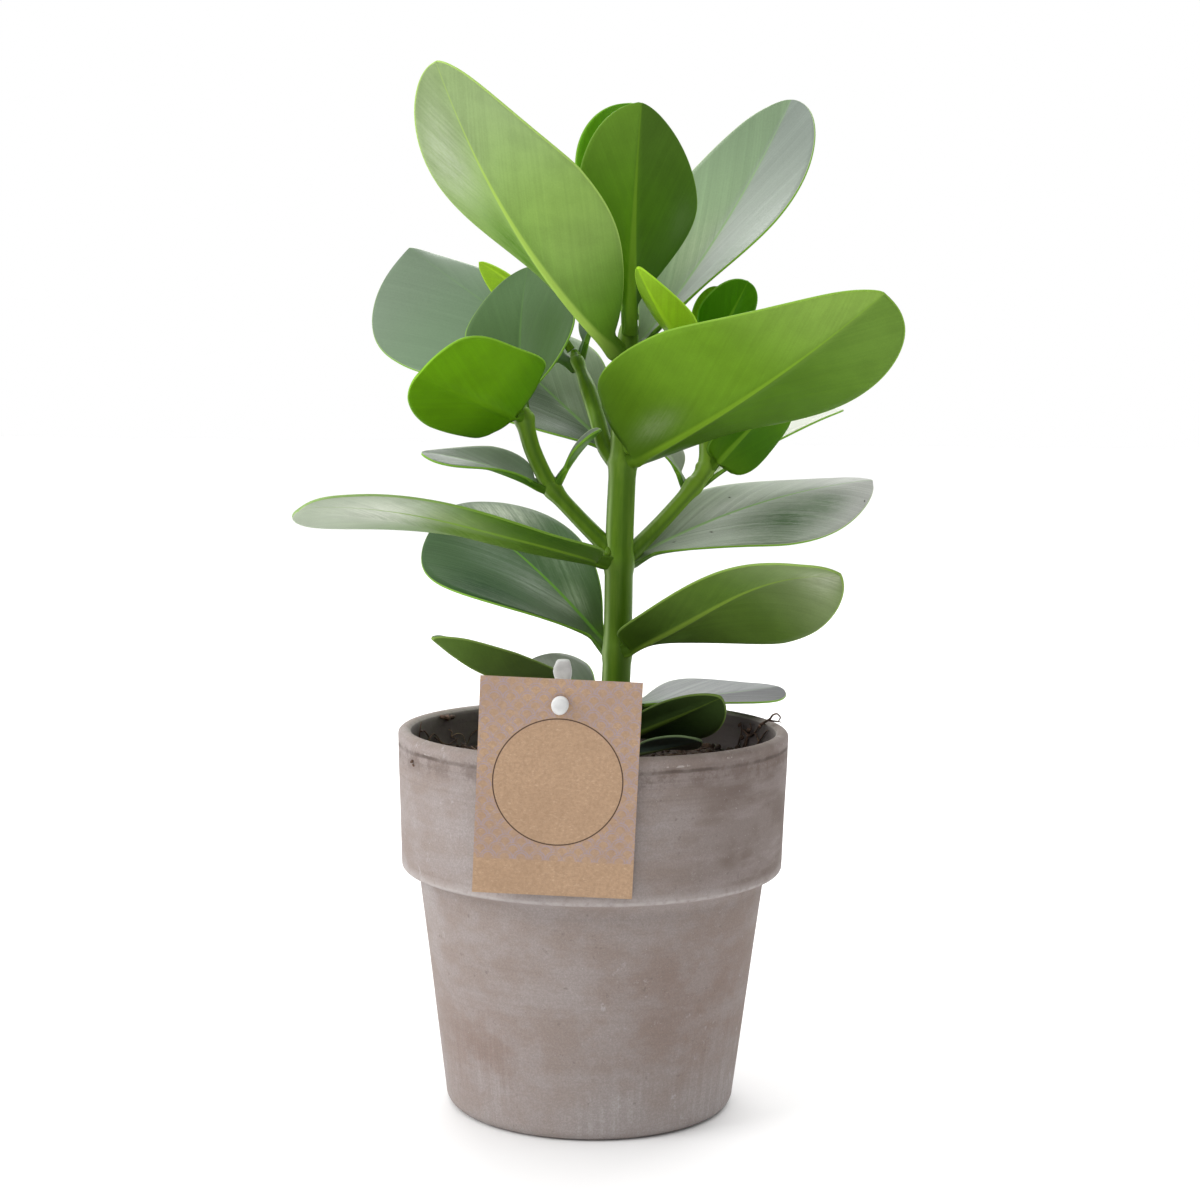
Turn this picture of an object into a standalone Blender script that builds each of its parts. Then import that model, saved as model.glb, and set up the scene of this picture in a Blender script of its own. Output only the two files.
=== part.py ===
# Potted clusia: a grey clay pot filled with soil, an upright stem with three side shoots,
# thick oval leaves in opposite pairs, and a card tag held in front by a plastic peg.
# X points right, Y away from the viewer and Z up. The origin is the middle of the pot's base.
# Lengths are in millimetres and angles in degrees until MM scales them into the meshes.

import math
import random

import bpy
import bmesh
from mathutils import Vector

MM = 0.001
GAP = 0.3                    # clearance kept between neighbouring solids

# Pot
POT_HEIGHT = 126.0
RIM_RADIUS = 65.0            # outer radius of the rolled lip
LIP_THICKNESS = 4.6
COLLAR_BOTTOM = 79.4         # the thick collar ends here
COLLAR_RADIUS = 63.4         # outer radius at the collar's lower edge
COLLAR_EDGE = 1.6            # rounding under the collar
BODY_TOP_RADIUS = 57.6       # just below the collar
BODY_FOOT_RADIUS = 48.3
FOOT_ROUNDING = 4.0
WALL = 5.0
FLOOR = 6.0
POT_SIDES = 60

# Soil
SOIL_LEVEL = 113.0
SOIL_BUMP = 1.0
SOIL_SIDES = 36
CRUMBS = 16
CRUMB_SEED = 5

# Card tag and the peg that carries it
TAG_WIDTH = 49.0
TAG_HEIGHT = 67.8
TAG_THICKNESS = 0.7
TAG_CENTRE = (-10.7, -67.1, 117.3)
TAG_LEAN = 5.0               # the top leans towards the viewer
TAG_TURN = 2.1               # clockwise, seen from the front
TAG_HOLE_RADIUS = 2.5
PEG_CENTRE = (-9.9, 143.2)   # X and Z of the peg's axis
PEG_RADIUS = 2.1
PEG_HEAD_RADIUS = 2.8
PEG_HEAD_DEPTH = 1.6
STAKE_X = -9.4
STAKE_Y = -54.5
STAKE_WIDTH = 5.9
STAKE_DEPTH = 2.5
STAKE_TOP = 155.3
STAKE_FOOT = 92.0

# Stem and side shoots: the route of each axis as x, y, z and radius
STEM_SIDES_RESOLUTION = 2
BRANCHES = {
    "main": [(6.6, 0, 88, 5.0), (7.3, 0, 138, 4.8), (8.1, 0, 182, 4.7), (8.8, 0, 218, 4.5),
             (9.6, 0, 245, 4.1), (10.4, 0, 257, 3.2), (10.7, 0, 261, 1.6)],
    "left": [(8, 0, 181, 3.2), (3, 0, 187, 2.9), (-6, 1, 196, 2.7), (-15, 1, 206, 2.7),
             (-21, 0, 218, 2.8), (-24, -1, 229, 2.8), (-25, -1, 231, 1.6)],
    "back": [(8, 0, 212, 3.0), (3, 3, 219, 2.8), (0, 8, 229, 2.7), (-3, 14, 238, 2.8),
             (-7, 22, 248, 2.8), (-8, 23, 251, 1.6)],
    "right": [(9, 1, 181, 3.2), (14, 3, 186, 2.8), (22, 7, 194, 2.6), (31, 11, 204, 2.6),
              (37, 15, 213, 2.7), (36, 15, 230, 2.4), (33, 8, 246, 2.4), (33, 7, 249, 1.4)],
}
NODE_HEIGHTS = {
    "main": [122, 134, 152, 181, 214, 249],
    "left": [205, 228],
    "back": [247],
    "right": [206, 212, 246],
}
NODE_SWELL = 0.5             # the stem is this much thicker at a node
NODE_REACH = 2.5             # above and below the node
BUD = (10.6, -4.2, 219.6, 1.9)

# Leaf sections, from one margin over the midrib to the other
LARGE_COLUMNS = [-1.0, -0.55, -0.12, 0.0, 0.12, 0.55, 1.0]
SMALL_COLUMNS = [-1.0, -0.5, 0.0, 0.5, 1.0]
LARGE_ROWS = 13
SMALL_ROWS = 8
SMALL_WIDTH = 30             # leaves narrower than this use the small section
BLADE_THICKNESS = 1.0
MARGIN_THICKNESS = 0.7
KEEL_THICKNESS = 3.2         # midrib at the base, on the underside
PLAIN_HALF = (1.0, 0.6, 1.0, 2.2)


def leaf(name, branch, height, tip, width, roll, fold, bow=0, sway=0, curl=0,
         azimuth=None, minus=PLAIN_HALF, plus=PLAIN_HALF, petiole=8, stalk=3.3):
    """Describe one leaf.

    It starts on a branch at a height and ends at its tip. Roll turns the blade about its
    midrib and fold lifts both halves, each given at the base and at the tip. Bow arches the
    midrib, sway bends it up near the base and down near the tip, and curl bends it sideways.
    Minus and plus are the outlines of the two halves: the share of half the width, the place
    of the greatest width, and how the outline rises below it and falls above it.
    """
    return {
        "name": name, "branch": branch, "height": height, "tip": Vector(tip), "width": width,
        "roll": roll, "fold": fold, "bow": bow, "sway": sway, "curl": curl,
        "azimuth": azimuth, "minus": minus, "plus": plus, "petiole": petiole, "stalk": stalk,
    }


LEAVES = [
    # pairs on the main stem, from the soil upwards
    leaf("leaf_1_right", "main", 118, (34, -36, 128), 17, (-12, -20), (15, 0),
         minus=(1.2, 0.45, 1.0, 1.4), plus=(0.8, 0.6, 1.0, 2.2)),
    leaf("leaf_2_right", "main", 123, (40, -45, 143), 20, (-30, -44), (8, -6),
         minus=(1.3, 0.45, 0.4, 1.8), plus=(0.7, 0.45, 0.4, 1.8)),
    leaf("leaf_2_left", "main", 132, (-22, 36, 144), 22, (-16, -16), (25, 8)),
    leaf("leaf_3_left", "main", 133, (-49, -58, 162), 34, (0, 0), (40, 30), bow=-2, sway=2,
         minus=(0.75, 0.65, 1.2, 1.6), plus=(1.0, 0.65, 1.6, 1.3)),
    leaf("leaf_3_right", "main", 133, (66, 54, 133), 36, (8, 8), (13, -2),
         minus=(0.92, 0.6, 1.0, 2.0), plus=(0.95, 0.55, 1.0, 1.8)),
    leaf("leaf_4_left", "main", 151, (-51, 60, 196), 56, (-25, -25), (25, -10), bow=4,
         minus=(1.12, 0.6, 0.8, 2.0), plus=(0.75, 0.6, 0.8, 2.2)),
    leaf("leaf_4_right", "main", 152, (75, -60, 183), 46, (-22, -36), (0, -14), bow=5,
         sway=-1.5, azimuth=-48, minus=(1.2, 0.5, 1.3, 1.8), plus=(0.6, 0.5, 0.25, 2.6),
         petiole=5),
    leaf("leaf_5_left", "main", 182, (-90, -60, 201), 39, (2, 20), (12, 0), bow=1.5,
         sway=-1, minus=(1.0, 0.7, 0.3, 3.0), plus=(1.0, 0.65, 0.3, 2.6)),
    leaf("leaf_5_right", "main", 181, (98, 56, 207), 44, (26, 26), (15, -18), bow=5,
         minus=(0.7, 0.45, 0.7, 2.4), plus=(1.18, 0.42, 0.9, 1.6)),
    leaf("leaf_6_left", "main", 216, (-36, 68, 254), 48, (-30, -35), (25, 0),
         minus=(1.03, 0.6, 0.8, 2.2), plus=(0.9, 0.6, 0.8, 2.2)),
    leaf("leaf_6_right", "main", 215, (86, -60, 268), 56, (-27, -36), (30, -8), bow=-3,
         azimuth=-41, minus=(0.91, 0.5, 0.4, 2.6), plus=(1.18, 0.38, 0.2, 1.5), petiole=5),
    leaf("leaf_7_left", "main", 249, (-49, -52, 336), 47, (14, 22), (40, -12), bow=-7, curl=1,
         minus=(1.26, 0.57, 0.65, 1.5), plus=(0.75, 0.66, 1.15, 1.9)),
    leaf("leaf_7_right", "main", 250, (67, 60, 340), 44, (10, 10), (30, 0), bow=-3, curl=1.5,
         minus=(1.1, 0.55, 0.8, 1.8), plus=(1.08, 0.5, 0.8, 2.0)),
    leaf("leaf_8_front", "main", 256, (13, -12, 329), 43, (0, 0), (25, 5), bow=-4, curl=2.5,
         azimuth=-70, minus=(1.14, 0.5, 1.0, 1.5), plus=(0.85, 0.6, 1.0, 2.0), stalk=2.8),
    leaf("leaf_8_back", "main", 256, (12, 14, 332), 41, (0, 0), (25, 5), bow=-4,
         azimuth=110, minus=(1.0, 0.66, 1.0, 2.2), plus=(0.82, 0.6, 1.0, 1.8), stalk=2.8),
    # left shoot
    leaf("leaf_left_1_out", "left", 205, (-57, -6, 217), 20, (-22, -22), (30, 5), bow=2,
         minus=(1.1, 0.55, 0.6, 2.0), plus=(0.95, 0.4, 0.4, 1.3), petiole=6, stalk=2.2),
    leaf("leaf_left_1_in", "left", 206, (1, -2, 225), 14, (15, 15), (30, 15), bow=1.5,
         azimuth=-8, minus=(0.6, 0.6, 1.0, 2.2), plus=(1.0, 0.6, 1.0, 2.2), petiole=6,
         stalk=2.0),
    leaf("leaf_left_2_front", "left", 229, (-56, -38, 242), 44, (46, 46), (8, 0),
         minus=(1.0, 0.5, 0.12, 3.0), plus=(0.73, 0.5, 0.15, 1.9), petiole=4, stalk=2.6),
    leaf("leaf_left_2_back", "left", 229, (-24, 28, 279), 39, (-20, -20), (25, 8), curl=-2,
         minus=(0.95, 0.5, 0.6, 1.5), plus=(1.15, 0.42, 0.6, 1.5), stalk=2.4),
    # shoot at the back
    leaf("leaf_back_1_out", "back", 245, (-67, 60, 287), 56, (-40, -42), (5, -15),
         minus=(1.32, 0.55, 0.6, 2.4), plus=(0.5, 0.5, 0.6, 1.4), stalk=2.4),
    leaf("leaf_back_1_in", "back", 248, (6, 34, 272), 16, (30, 30), (30, 8), bow=2,
         azimuth=-5, petiole=6, stalk=1.8),
    leaf("leaf_back_2_out", "back", 251, (-41, 42, 281), 14, (100, 110), (5, 0), bow=3,
         minus=(0.3, 0.6, 1.0, 2.0), plus=(1.15, 0.55, 1.0, 1.5), petiole=6, stalk=1.4),
    # right shoot
    leaf("leaf_right_1_in", "right", 205, (20, 21, 223), 16, (-30, -30), (15, 5), bow=1,
         azimuth=-175, petiole=6, stalk=1.8),
    leaf("leaf_right_1_out", "right", 206, (85, 59, 232), 24, (0, 0), (15, 0), bow=3.5,
         sway=-1, petiole=6, stalk=2.0),
    leaf("leaf_right_2_front", "right", 212, (62, 12, 238), 28, (-58, -45), (-5, 0),
         minus=(0.98, 0.6, 0.3, 2.4), plus=(0.62, 0.45, 0.3, 2.2), petiole=3, stalk=2.4),
    leaf("leaf_right_3_left", "right", 248, (13, -20, 277), 14, (20, 20), (30, 15), bow=-1,
         azimuth=-150, minus=(1.15, 0.35, 0.5, 1.4), plus=(1.0, 0.45, 0.5, 1.6), petiole=5,
         stalk=1.4),
    leaf("leaf_right_3_right", "right", 245, (49, 3, 274), 20, (-50, -55), (15, -5),
         minus=(0.72, 0.6, 1.0, 2.2), plus=(1.05, 0.5, 1.0, 2.0), petiole=6, stalk=1.8),
    leaf("leaf_right_3_back", "right", 247, (40, 22, 273), 12, (0, 0), (30, 8),
         petiole=5, stalk=1.4),
]


# Small helpers

def clear_scene():
    for obj in list(bpy.data.objects):
        bpy.data.objects.remove(obj, do_unlink=True)


def new_collection(name):
    collection = bpy.data.collections.new(name)
    bpy.context.scene.collection.children.link(collection)
    return collection


def material(name, colour, roughness):
    mat = bpy.data.materials.new(name)
    mat.use_nodes = True
    shader = mat.node_tree.nodes["Principled BSDF"]
    shader.inputs["Base Color"].default_value = (*colour, 1.0)
    shader.inputs["Roughness"].default_value = roughness
    shader.inputs["Metallic"].default_value = 0.0
    return mat


def add_object(name, mesh, collection, mat=None):
    obj = bpy.data.objects.new(name, mesh)
    collection.objects.link(obj)
    if mat is not None:
        mesh.materials.append(mat)
    return obj


def make_cutter(obj):
    obj.hide_render = True
    obj.display_type = "WIRE"
    return obj


def boolean(obj, operation, other=None, group=None):
    mod = obj.modifiers.new(operation.lower(), "BOOLEAN")
    mod.operation = operation
    mod.solver = "EXACT"
    if group is not None:
        mod.operand_type = "COLLECTION"
        mod.collection = group
    else:
        mod.object = other
    return mod


def apply_modifiers(obj):
    depsgraph = bpy.context.evaluated_depsgraph_get()
    mesh = bpy.data.meshes.new_from_object(obj.evaluated_get(depsgraph))
    obj.modifiers.clear()
    obj.data = mesh


def union_into(obj, others, group):
    """Join the other solids into obj with one union and remove them."""
    boolean(obj, "UNION", group=group)
    bpy.context.view_layer.update()
    apply_modifiers(obj)
    for other in others:
        bpy.data.objects.remove(other, do_unlink=True)
    bpy.data.collections.remove(group)


def mesh_from_bmesh(name, bm):
    mesh = bpy.data.meshes.new(name)
    bm.to_mesh(mesh)
    bm.free()
    return mesh


def arc(x, z, radius, start, end, steps):
    """Points on an arc in the XZ plane, from the start to the end angle."""
    points = []
    for i in range(steps + 1):
        angle = math.radians(start + (end - start) * i / steps)
        points.append((x + radius * math.cos(angle), z + radius * math.sin(angle)))
    return points


def turned(name, profile, sides, collection, mat):
    """Turn a profile of (radius, height) points about Z."""
    bm = bmesh.new()
    verts = [bm.verts.new((x * MM, 0, z * MM)) for x, z in profile]
    for a, b in zip(verts, verts[1:]):
        bm.edges.new((a, b))
    obj = add_object(name, mesh_from_bmesh(name, bm), collection, mat)
    screw = obj.modifiers.new("turn", "SCREW")
    screw.axis = "Z"
    screw.angle = math.tau
    screw.steps = sides
    screw.render_steps = sides
    screw.use_merge_vertices = True
    screw.merge_threshold = 0.00005
    screw.use_smooth_shade = True
    return obj


def smooth(x):
    """Ease from 0 to 1."""
    x = min(max(x, 0.0), 1.0)
    return x * x * (3.0 - 2.0 * x)


# Pot and soil

def inner_radius(z):
    """Radius of the pot's inner wall at a height."""
    collar_inner = COLLAR_RADIUS - WALL - 0.6
    body_top = BODY_TOP_RADIUS - WALL
    body_foot = BODY_FOOT_RADIUS - WALL
    lip = RIM_RADIUS - LIP_THICKNESS
    if z >= COLLAR_BOTTOM + 4:
        part = (z - COLLAR_BOTTOM - 4) / (POT_HEIGHT - COLLAR_BOTTOM - 4)
        return collar_inner + (lip - collar_inner) * part
    if z >= COLLAR_BOTTOM - 6:
        return body_top + (collar_inner - body_top) * (z - COLLAR_BOTTOM + 6) / 10
    return body_foot + (body_top - body_foot) * (z - FLOOR) / (COLLAR_BOTTOM - 6 - FLOOR)


def make_pot(collection, mat):
    lip = LIP_THICKNESS / 2
    inside = [(0, FLOOR), (inner_radius(FLOOR) - 4, FLOOR), (inner_radius(FLOOR + 4), FLOOR + 4)]
    inside += [(inner_radius(z), z) for z in (COLLAR_BOTTOM - 6, COLLAR_BOTTOM + 4)]
    rim = arc(RIM_RADIUS - lip, POT_HEIGHT - lip, lip, 180, 0, 6)
    collar = arc(COLLAR_RADIUS - COLLAR_EDGE, COLLAR_BOTTOM + COLLAR_EDGE, COLLAR_EDGE, 0, -90, 3)
    neck = [(BODY_TOP_RADIUS + 2.6, COLLAR_BOTTOM - 0.3), (BODY_TOP_RADIUS, COLLAR_BOTTOM - 2)]
    foot = arc(BODY_FOOT_RADIUS - FOOT_ROUNDING, FOOT_ROUNDING, FOOT_ROUNDING, 0, -90, 4)
    profile = inside + rim + collar + neck + foot + [(0, 0)]
    return turned("pot", profile, POT_SIDES, collection, mat)


def soil_height(x, y):
    """Bumpy level of the soil."""
    wave = math.sin(0.21 * x + 0.6) * math.cos(0.17 * y - 0.4)
    ripple = 0.6 * math.sin(0.43 * x - 0.31 * y)
    return SOIL_LEVEL + SOIL_BUMP * (wave + ripple)


def make_crumbs(group):
    """Small lumps sunk into the soil, to be joined with it."""
    rng = random.Random(CRUMB_SEED)
    crumbs = []
    for i in range(CRUMBS):
        angle = math.tau * i / CRUMBS + rng.uniform(-0.12, 0.12)
        radius = rng.uniform(22, 50)
        x = radius * math.cos(angle)
        y = radius * math.sin(angle)
        if math.hypot(x - STAKE_X, y - STAKE_Y) < 9:
            continue
        size = rng.uniform(1.8, 3.0)
        bm = bmesh.new()
        bmesh.ops.create_icosphere(bm, subdivisions=1, radius=size * MM)
        obj = add_object("crumb_%d" % i, mesh_from_bmesh("crumb", bm), group)
        obj.location = (x * MM, y * MM, (soil_height(x, y) - 0.2 * size) * MM)
        obj.rotation_euler = (rng.uniform(0, 3), rng.uniform(0, 3), rng.uniform(0, 3))
        obj.scale = (1.3, 1.0, 0.8)
        crumbs.append(obj)
    return crumbs


def make_soil(collection, mat, stem_cutter, stake_cutter):
    top = SOIL_LEVEL - 1.5
    edge = [(inner_radius(top) - GAP, top)]
    rings = [(radius, SOIL_LEVEL) for radius in (0, 12, 20, 28, 36, 44, 51, 56)]
    heights = (COLLAR_BOTTOM + 4, COLLAR_BOTTOM - 6, FLOOR + 4)
    wall = [(inner_radius(z) - GAP, z) for z in heights]
    bottom = [(inner_radius(FLOOR) - 4 - 2 * GAP, FLOOR + GAP), (0, FLOOR + GAP)]
    soil = turned("soil", rings + edge + wall + bottom, SOIL_SIDES, collection, mat)
    bpy.context.view_layer.update()
    apply_modifiers(soil)
    for vert in soil.data.vertices:
        if vert.co.z > (SOIL_LEVEL - 0.5) * MM:
            vert.co.z = soil_height(vert.co.x / MM, vert.co.y / MM) * MM
    group = new_collection("crumbs")
    union_into(soil, make_crumbs(group), group)
    boolean(soil, "DIFFERENCE", other=stem_cutter)
    boolean(soil, "DIFFERENCE", other=stake_cutter)
    return soil


# Stem

def branch_point(branch, height):
    """Place and radius of a branch's axis at a height."""
    route = BRANCHES[branch]
    for low, high in zip(route, route[1:]):
        if height <= high[2] or high is route[-1]:
            part = (height - low[2]) / (high[2] - low[2])
            values = [a + (b - a) * part for a, b in zip(low, high)]
            return Vector(values[:3]), values[3]


def branch_rings(branch):
    """Heights where a branch's tube has a ring: its route's points and its nodes."""
    heights = [point[2] for point in BRANCHES[branch]]
    for node in NODE_HEIGHTS[branch]:
        near = [node - NODE_REACH, node, node + NODE_REACH]
        heights = [z for z in heights if abs(z - node) > NODE_REACH + 0.5 or z == heights[0]]
        heights += [z for z in near if BRANCHES[branch][0][2] < z < BRANCHES[branch][-1][2]]
    heights.append(BRANCHES[branch][-1][2])
    return sorted(set(heights))


def branch_tube(branch, extra, collection):
    """A closed tube along a branch, thicker by extra all round."""
    curve = bpy.data.curves.new(branch, "CURVE")
    curve.dimensions = "3D"
    curve.bevel_depth = MM
    curve.bevel_resolution = STEM_SIDES_RESOLUTION
    curve.use_fill_caps = True
    heights = branch_rings(branch)
    spline = curve.splines.new("POLY")
    spline.points.add(len(heights) - 1)
    for point, height in zip(spline.points, heights):
        place, radius = branch_point(branch, height)
        if height in NODE_HEIGHTS[branch]:
            radius += NODE_SWELL
        if height == heights[0]:
            place.z -= extra
        if height == heights[-1]:
            place.z += extra
        point.co = (*(place * MM), 1.0)
        point.radius = radius + extra
    guide = bpy.data.objects.new(branch, curve)
    collection.objects.link(guide)
    bpy.context.view_layer.update()
    depsgraph = bpy.context.evaluated_depsgraph_get()
    mesh = bpy.data.meshes.new_from_object(guide.evaluated_get(depsgraph))
    bm = bmesh.new()
    bm.from_mesh(mesh)
    bmesh.ops.remove_doubles(bm, verts=bm.verts, dist=0.00001)
    bmesh.ops.recalc_face_normals(bm, faces=bm.faces)
    bm.to_mesh(mesh)
    bm.free()
    tube = bpy.data.objects.new(branch + "_tube", mesh)
    collection.objects.link(tube)
    tube.matrix_world = guide.matrix_world
    bpy.data.objects.remove(guide, do_unlink=True)
    return tube


def make_stem(name, extra, collection, mat=None):
    """The main stem with its side shoots and a bud, joined into one solid."""
    stem = branch_tube("main", extra, collection)
    stem.name = name
    group = new_collection(name + "_shoots")
    shoots = [branch_tube(branch, extra, group) for branch in ("left", "back", "right")]
    x, y, z, radius = BUD
    bm = bmesh.new()
    bmesh.ops.create_icosphere(bm, subdivisions=2, radius=(radius + extra) * MM)
    bud = add_object("bud", mesh_from_bmesh("bud", bm), group)
    bud.location = (x * MM, y * MM, z * MM)
    bud.scale = (1.0, 1.0, 1.3)
    union_into(stem, shoots + [bud], group)
    if mat is not None:
        stem.data.materials.clear()
        stem.data.materials.append(mat)
        stem.data.shade_smooth()
    return stem


# Leaves

def leaf_root(spec):
    """The leaf's first point, a little inside its branch."""
    centre, radius = branch_point(spec["branch"], spec["height"])
    way = spec["tip"] - centre
    way.z = 0
    return centre + way.normalized() * 0.55 * radius


def leaf_section(spec, t):
    """Midrib point, sideways direction, upper normal, both half widths and fold at t."""
    root = leaf_root(spec)
    chord = spec["tip"] - root
    length = chord.length
    azimuth = math.atan2(chord.y, chord.x)
    if spec["azimuth"] is not None:
        azimuth = math.radians(spec["azimuth"])
    across = Vector((math.sin(azimuth), -math.cos(azimuth), 0))
    lift = across.cross(chord).normalized()
    turn = 2 * math.pi * t
    bend = 4 * t * (1 - t)
    place = root + chord * t + lift * (spec["bow"] * bend + spec["sway"] * math.sin(turn))
    place += across * (spec["curl"] * bend)
    along = (chord + lift * (spec["bow"] * 4 * (1 - 2 * t)
                             + spec["sway"] * 2 * math.pi * math.cos(turn))).normalized()
    up = across.cross(along).normalized()
    side = along.cross(up)
    ease = smooth(t)
    roll = math.radians(spec["roll"][0] + (spec["roll"][1] - spec["roll"][0]) * ease)
    fold = math.radians(spec["fold"][0] + (spec["fold"][1] - spec["fold"][0]) * ease)
    normal = up * math.cos(roll) + side * math.sin(roll)
    sideways = side * math.cos(roll) - up * math.sin(roll)
    start = spec["petiole"] / length
    blade = min(max((t - start) / (1 - start), 0.0), 1.0)
    stalk = spec["stalk"] * (1 - smooth(2 * t))
    halves = []
    for share, widest, base, blunt in (spec["minus"], spec["plus"]):
        if blade < widest:
            shape = math.sin(math.pi / 2 * (blade / widest) ** base)
        else:
            past = (blade - widest) / (1 - widest)
            shape = max(1 - past ** blunt, 0.0) ** (1 / blunt)
        halves.append(((spec["width"] / 2 * shape * share) ** 3 + stalk ** 3) ** (1 / 3))
    return place, sideways, normal, halves, fold


def leaf_point(spec, t, v):
    """A point of the upper face: t runs from the base to the tip, v from margin to margin."""
    place, sideways, normal, halves, fold = leaf_section(spec, t)
    reach = v * (halves[0] if v < 0 else halves[1])
    lift = abs(reach) * math.sin(fold) * abs(v) ** 0.4
    return place + sideways * (reach * math.cos(fold)) + normal * lift


def leaf_thickness(spec, t, v):
    """Thickest in the petiole and the midrib, thinnest at the margin and the tip."""
    petiole = 1 - smooth(3 * t)
    keel = max(1 - abs(v) / 0.2, 0.0)
    blade = BLADE_THICKNESS + (MARGIN_THICKNESS - BLADE_THICKNESS) * v * v
    base = KEEL_THICKNESS * spec["stalk"] / 3.3
    thick = blade + (base - blade) * max(keel * (1 - t) ** 1.2, 0.7 * petiole * (1 - v * v))
    return max(thick, MARGIN_THICKNESS)


def make_leaf(spec, collection, mat, cutter):
    small = spec["width"] < SMALL_WIDTH
    columns = SMALL_COLUMNS if small else LARGE_COLUMNS
    rows = SMALL_ROWS if small else LARGE_ROWS
    root = leaf_root(spec)
    bm = bmesh.new()
    bmesh.ops.create_grid(bm, x_segments=rows, y_segments=len(columns) - 1, size=0.5)
    weights = bm.verts.layers.deform.verify()
    for vert in bm.verts:
        t = (1 - math.cos(math.pi * (vert.co.x + 0.5))) / 2
        v = -columns[round((vert.co.y + 0.5) * (len(columns) - 1))]
        vert.co = (leaf_point(spec, t, v) - root) * MM
        vert[weights][0] = leaf_thickness(spec, t, v) / KEEL_THICKNESS
    bmesh.ops.remove_doubles(bm, verts=bm.verts, dist=0.00002)
    bmesh.ops.triangulate(bm, faces=bm.faces)
    obj = add_object(spec["name"], mesh_from_bmesh(spec["name"], bm), collection, mat)
    obj.location = root * MM
    obj.vertex_groups.new(name="thickness")
    solid = obj.modifiers.new("thickness", "SOLIDIFY")
    solid.thickness = KEEL_THICKNESS * MM
    solid.offset = -1.0
    solid.vertex_group = "thickness"
    boolean(obj, "DIFFERENCE", other=cutter)
    obj.data.shade_smooth()
    return obj


# Tag and peg

def box(name, size, collection, mat=None):
    bm = bmesh.new()
    bmesh.ops.create_cube(bm, size=1.0)
    for vert in bm.verts:
        vert.co = (vert.co.x * size[0] * MM, vert.co.y * size[1] * MM, vert.co.z * size[2] * MM)
    return add_object(name, mesh_from_bmesh(name, bm), collection, mat)


def rod_along_y(name, radius, depth, sides, collection):
    bm = bmesh.new()
    bmesh.ops.create_cone(bm, cap_ends=True, segments=sides, radius1=radius * MM,
                          radius2=radius * MM, depth=depth * MM)
    obj = add_object(name, mesh_from_bmesh(name, bm), collection)
    obj.rotation_euler.x = math.radians(90)
    return obj


def peg_y():
    """Y of the card's middle where the peg goes through it."""
    above = PEG_CENTRE[1] - TAG_CENTRE[2]
    return TAG_CENTRE[1] - above * math.tan(math.radians(TAG_LEAN))


def make_tag(collection, cutters, mat):
    tag = box("tag", (TAG_WIDTH, TAG_THICKNESS, TAG_HEIGHT), collection, mat)
    tag.location = Vector(TAG_CENTRE) * MM
    tag.rotation_euler = (math.radians(TAG_LEAN), math.radians(TAG_TURN), 0)
    hole = make_cutter(rod_along_y("tag_hole", TAG_HOLE_RADIUS, 10, 24, cutters))
    hole.location = (PEG_CENTRE[0] * MM, peg_y() * MM, PEG_CENTRE[1] * MM)
    boolean(tag, "DIFFERENCE", other=hole)
    return tag


def stake(name, extra, collection):
    """Flat stake, narrower at its head and pointed at its foot."""
    height = STAKE_TOP - STAKE_FOOT + 2 * extra
    bm = bmesh.new()
    bmesh.ops.create_cube(bm, size=1.0)
    for share in (0.1, 0.92):
        bmesh.ops.bisect_plane(bm, geom=bm.verts[:] + bm.edges[:] + bm.faces[:],
                               plane_co=(0, 0, share - 0.5), plane_no=(0, 0, 1))
    for vert in bm.verts:
        narrow = 1.0
        if vert.co.z > 0.45:
            narrow = 0.74
        if vert.co.z < -0.45:
            narrow = 0.5
        vert.co.x *= (STAKE_WIDTH * narrow + 2 * extra) * MM
        vert.co.y *= (STAKE_DEPTH * max(narrow, 0.74) + 2 * extra) * MM
        vert.co.z *= height * MM
    obj = add_object(name, mesh_from_bmesh(name, bm), collection)
    middle = (STAKE_TOP + STAKE_FOOT) / 2
    obj.location = (STAKE_X * MM, STAKE_Y * MM, middle * MM)
    return obj


def make_peg(collection, mat):
    """The stake with the peg and its oval head joined to it."""
    peg = stake("tag_peg", 0, collection)
    peg.data.materials.append(mat)
    front = peg_y() - TAG_THICKNESS / 2 - GAP - 0.25
    group = new_collection("peg_pieces")
    rod = rod_along_y("rod", PEG_RADIUS, STAKE_Y - front + 0.4, 20, group)
    rod.location = (PEG_CENTRE[0] * MM, (STAKE_Y + front - 0.4) / 2 * MM, PEG_CENTRE[1] * MM)
    head = rod_along_y("head", PEG_HEAD_RADIUS, PEG_HEAD_DEPTH, 20, group)
    head.location = (PEG_CENTRE[0] * MM, (front - PEG_HEAD_DEPTH / 2) * MM, PEG_CENTRE[1] * MM)
    head.scale = (1.0, 1.14, 1.0)
    union_into(peg, [rod, head], group)
    edges = peg.modifiers.new("edges", "BEVEL")
    edges.width = 0.4 * MM
    edges.segments = 2
    edges.limit_method = "ANGLE"
    edges.angle_limit = math.radians(50)
    peg.data.shade_smooth()
    return peg


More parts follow.
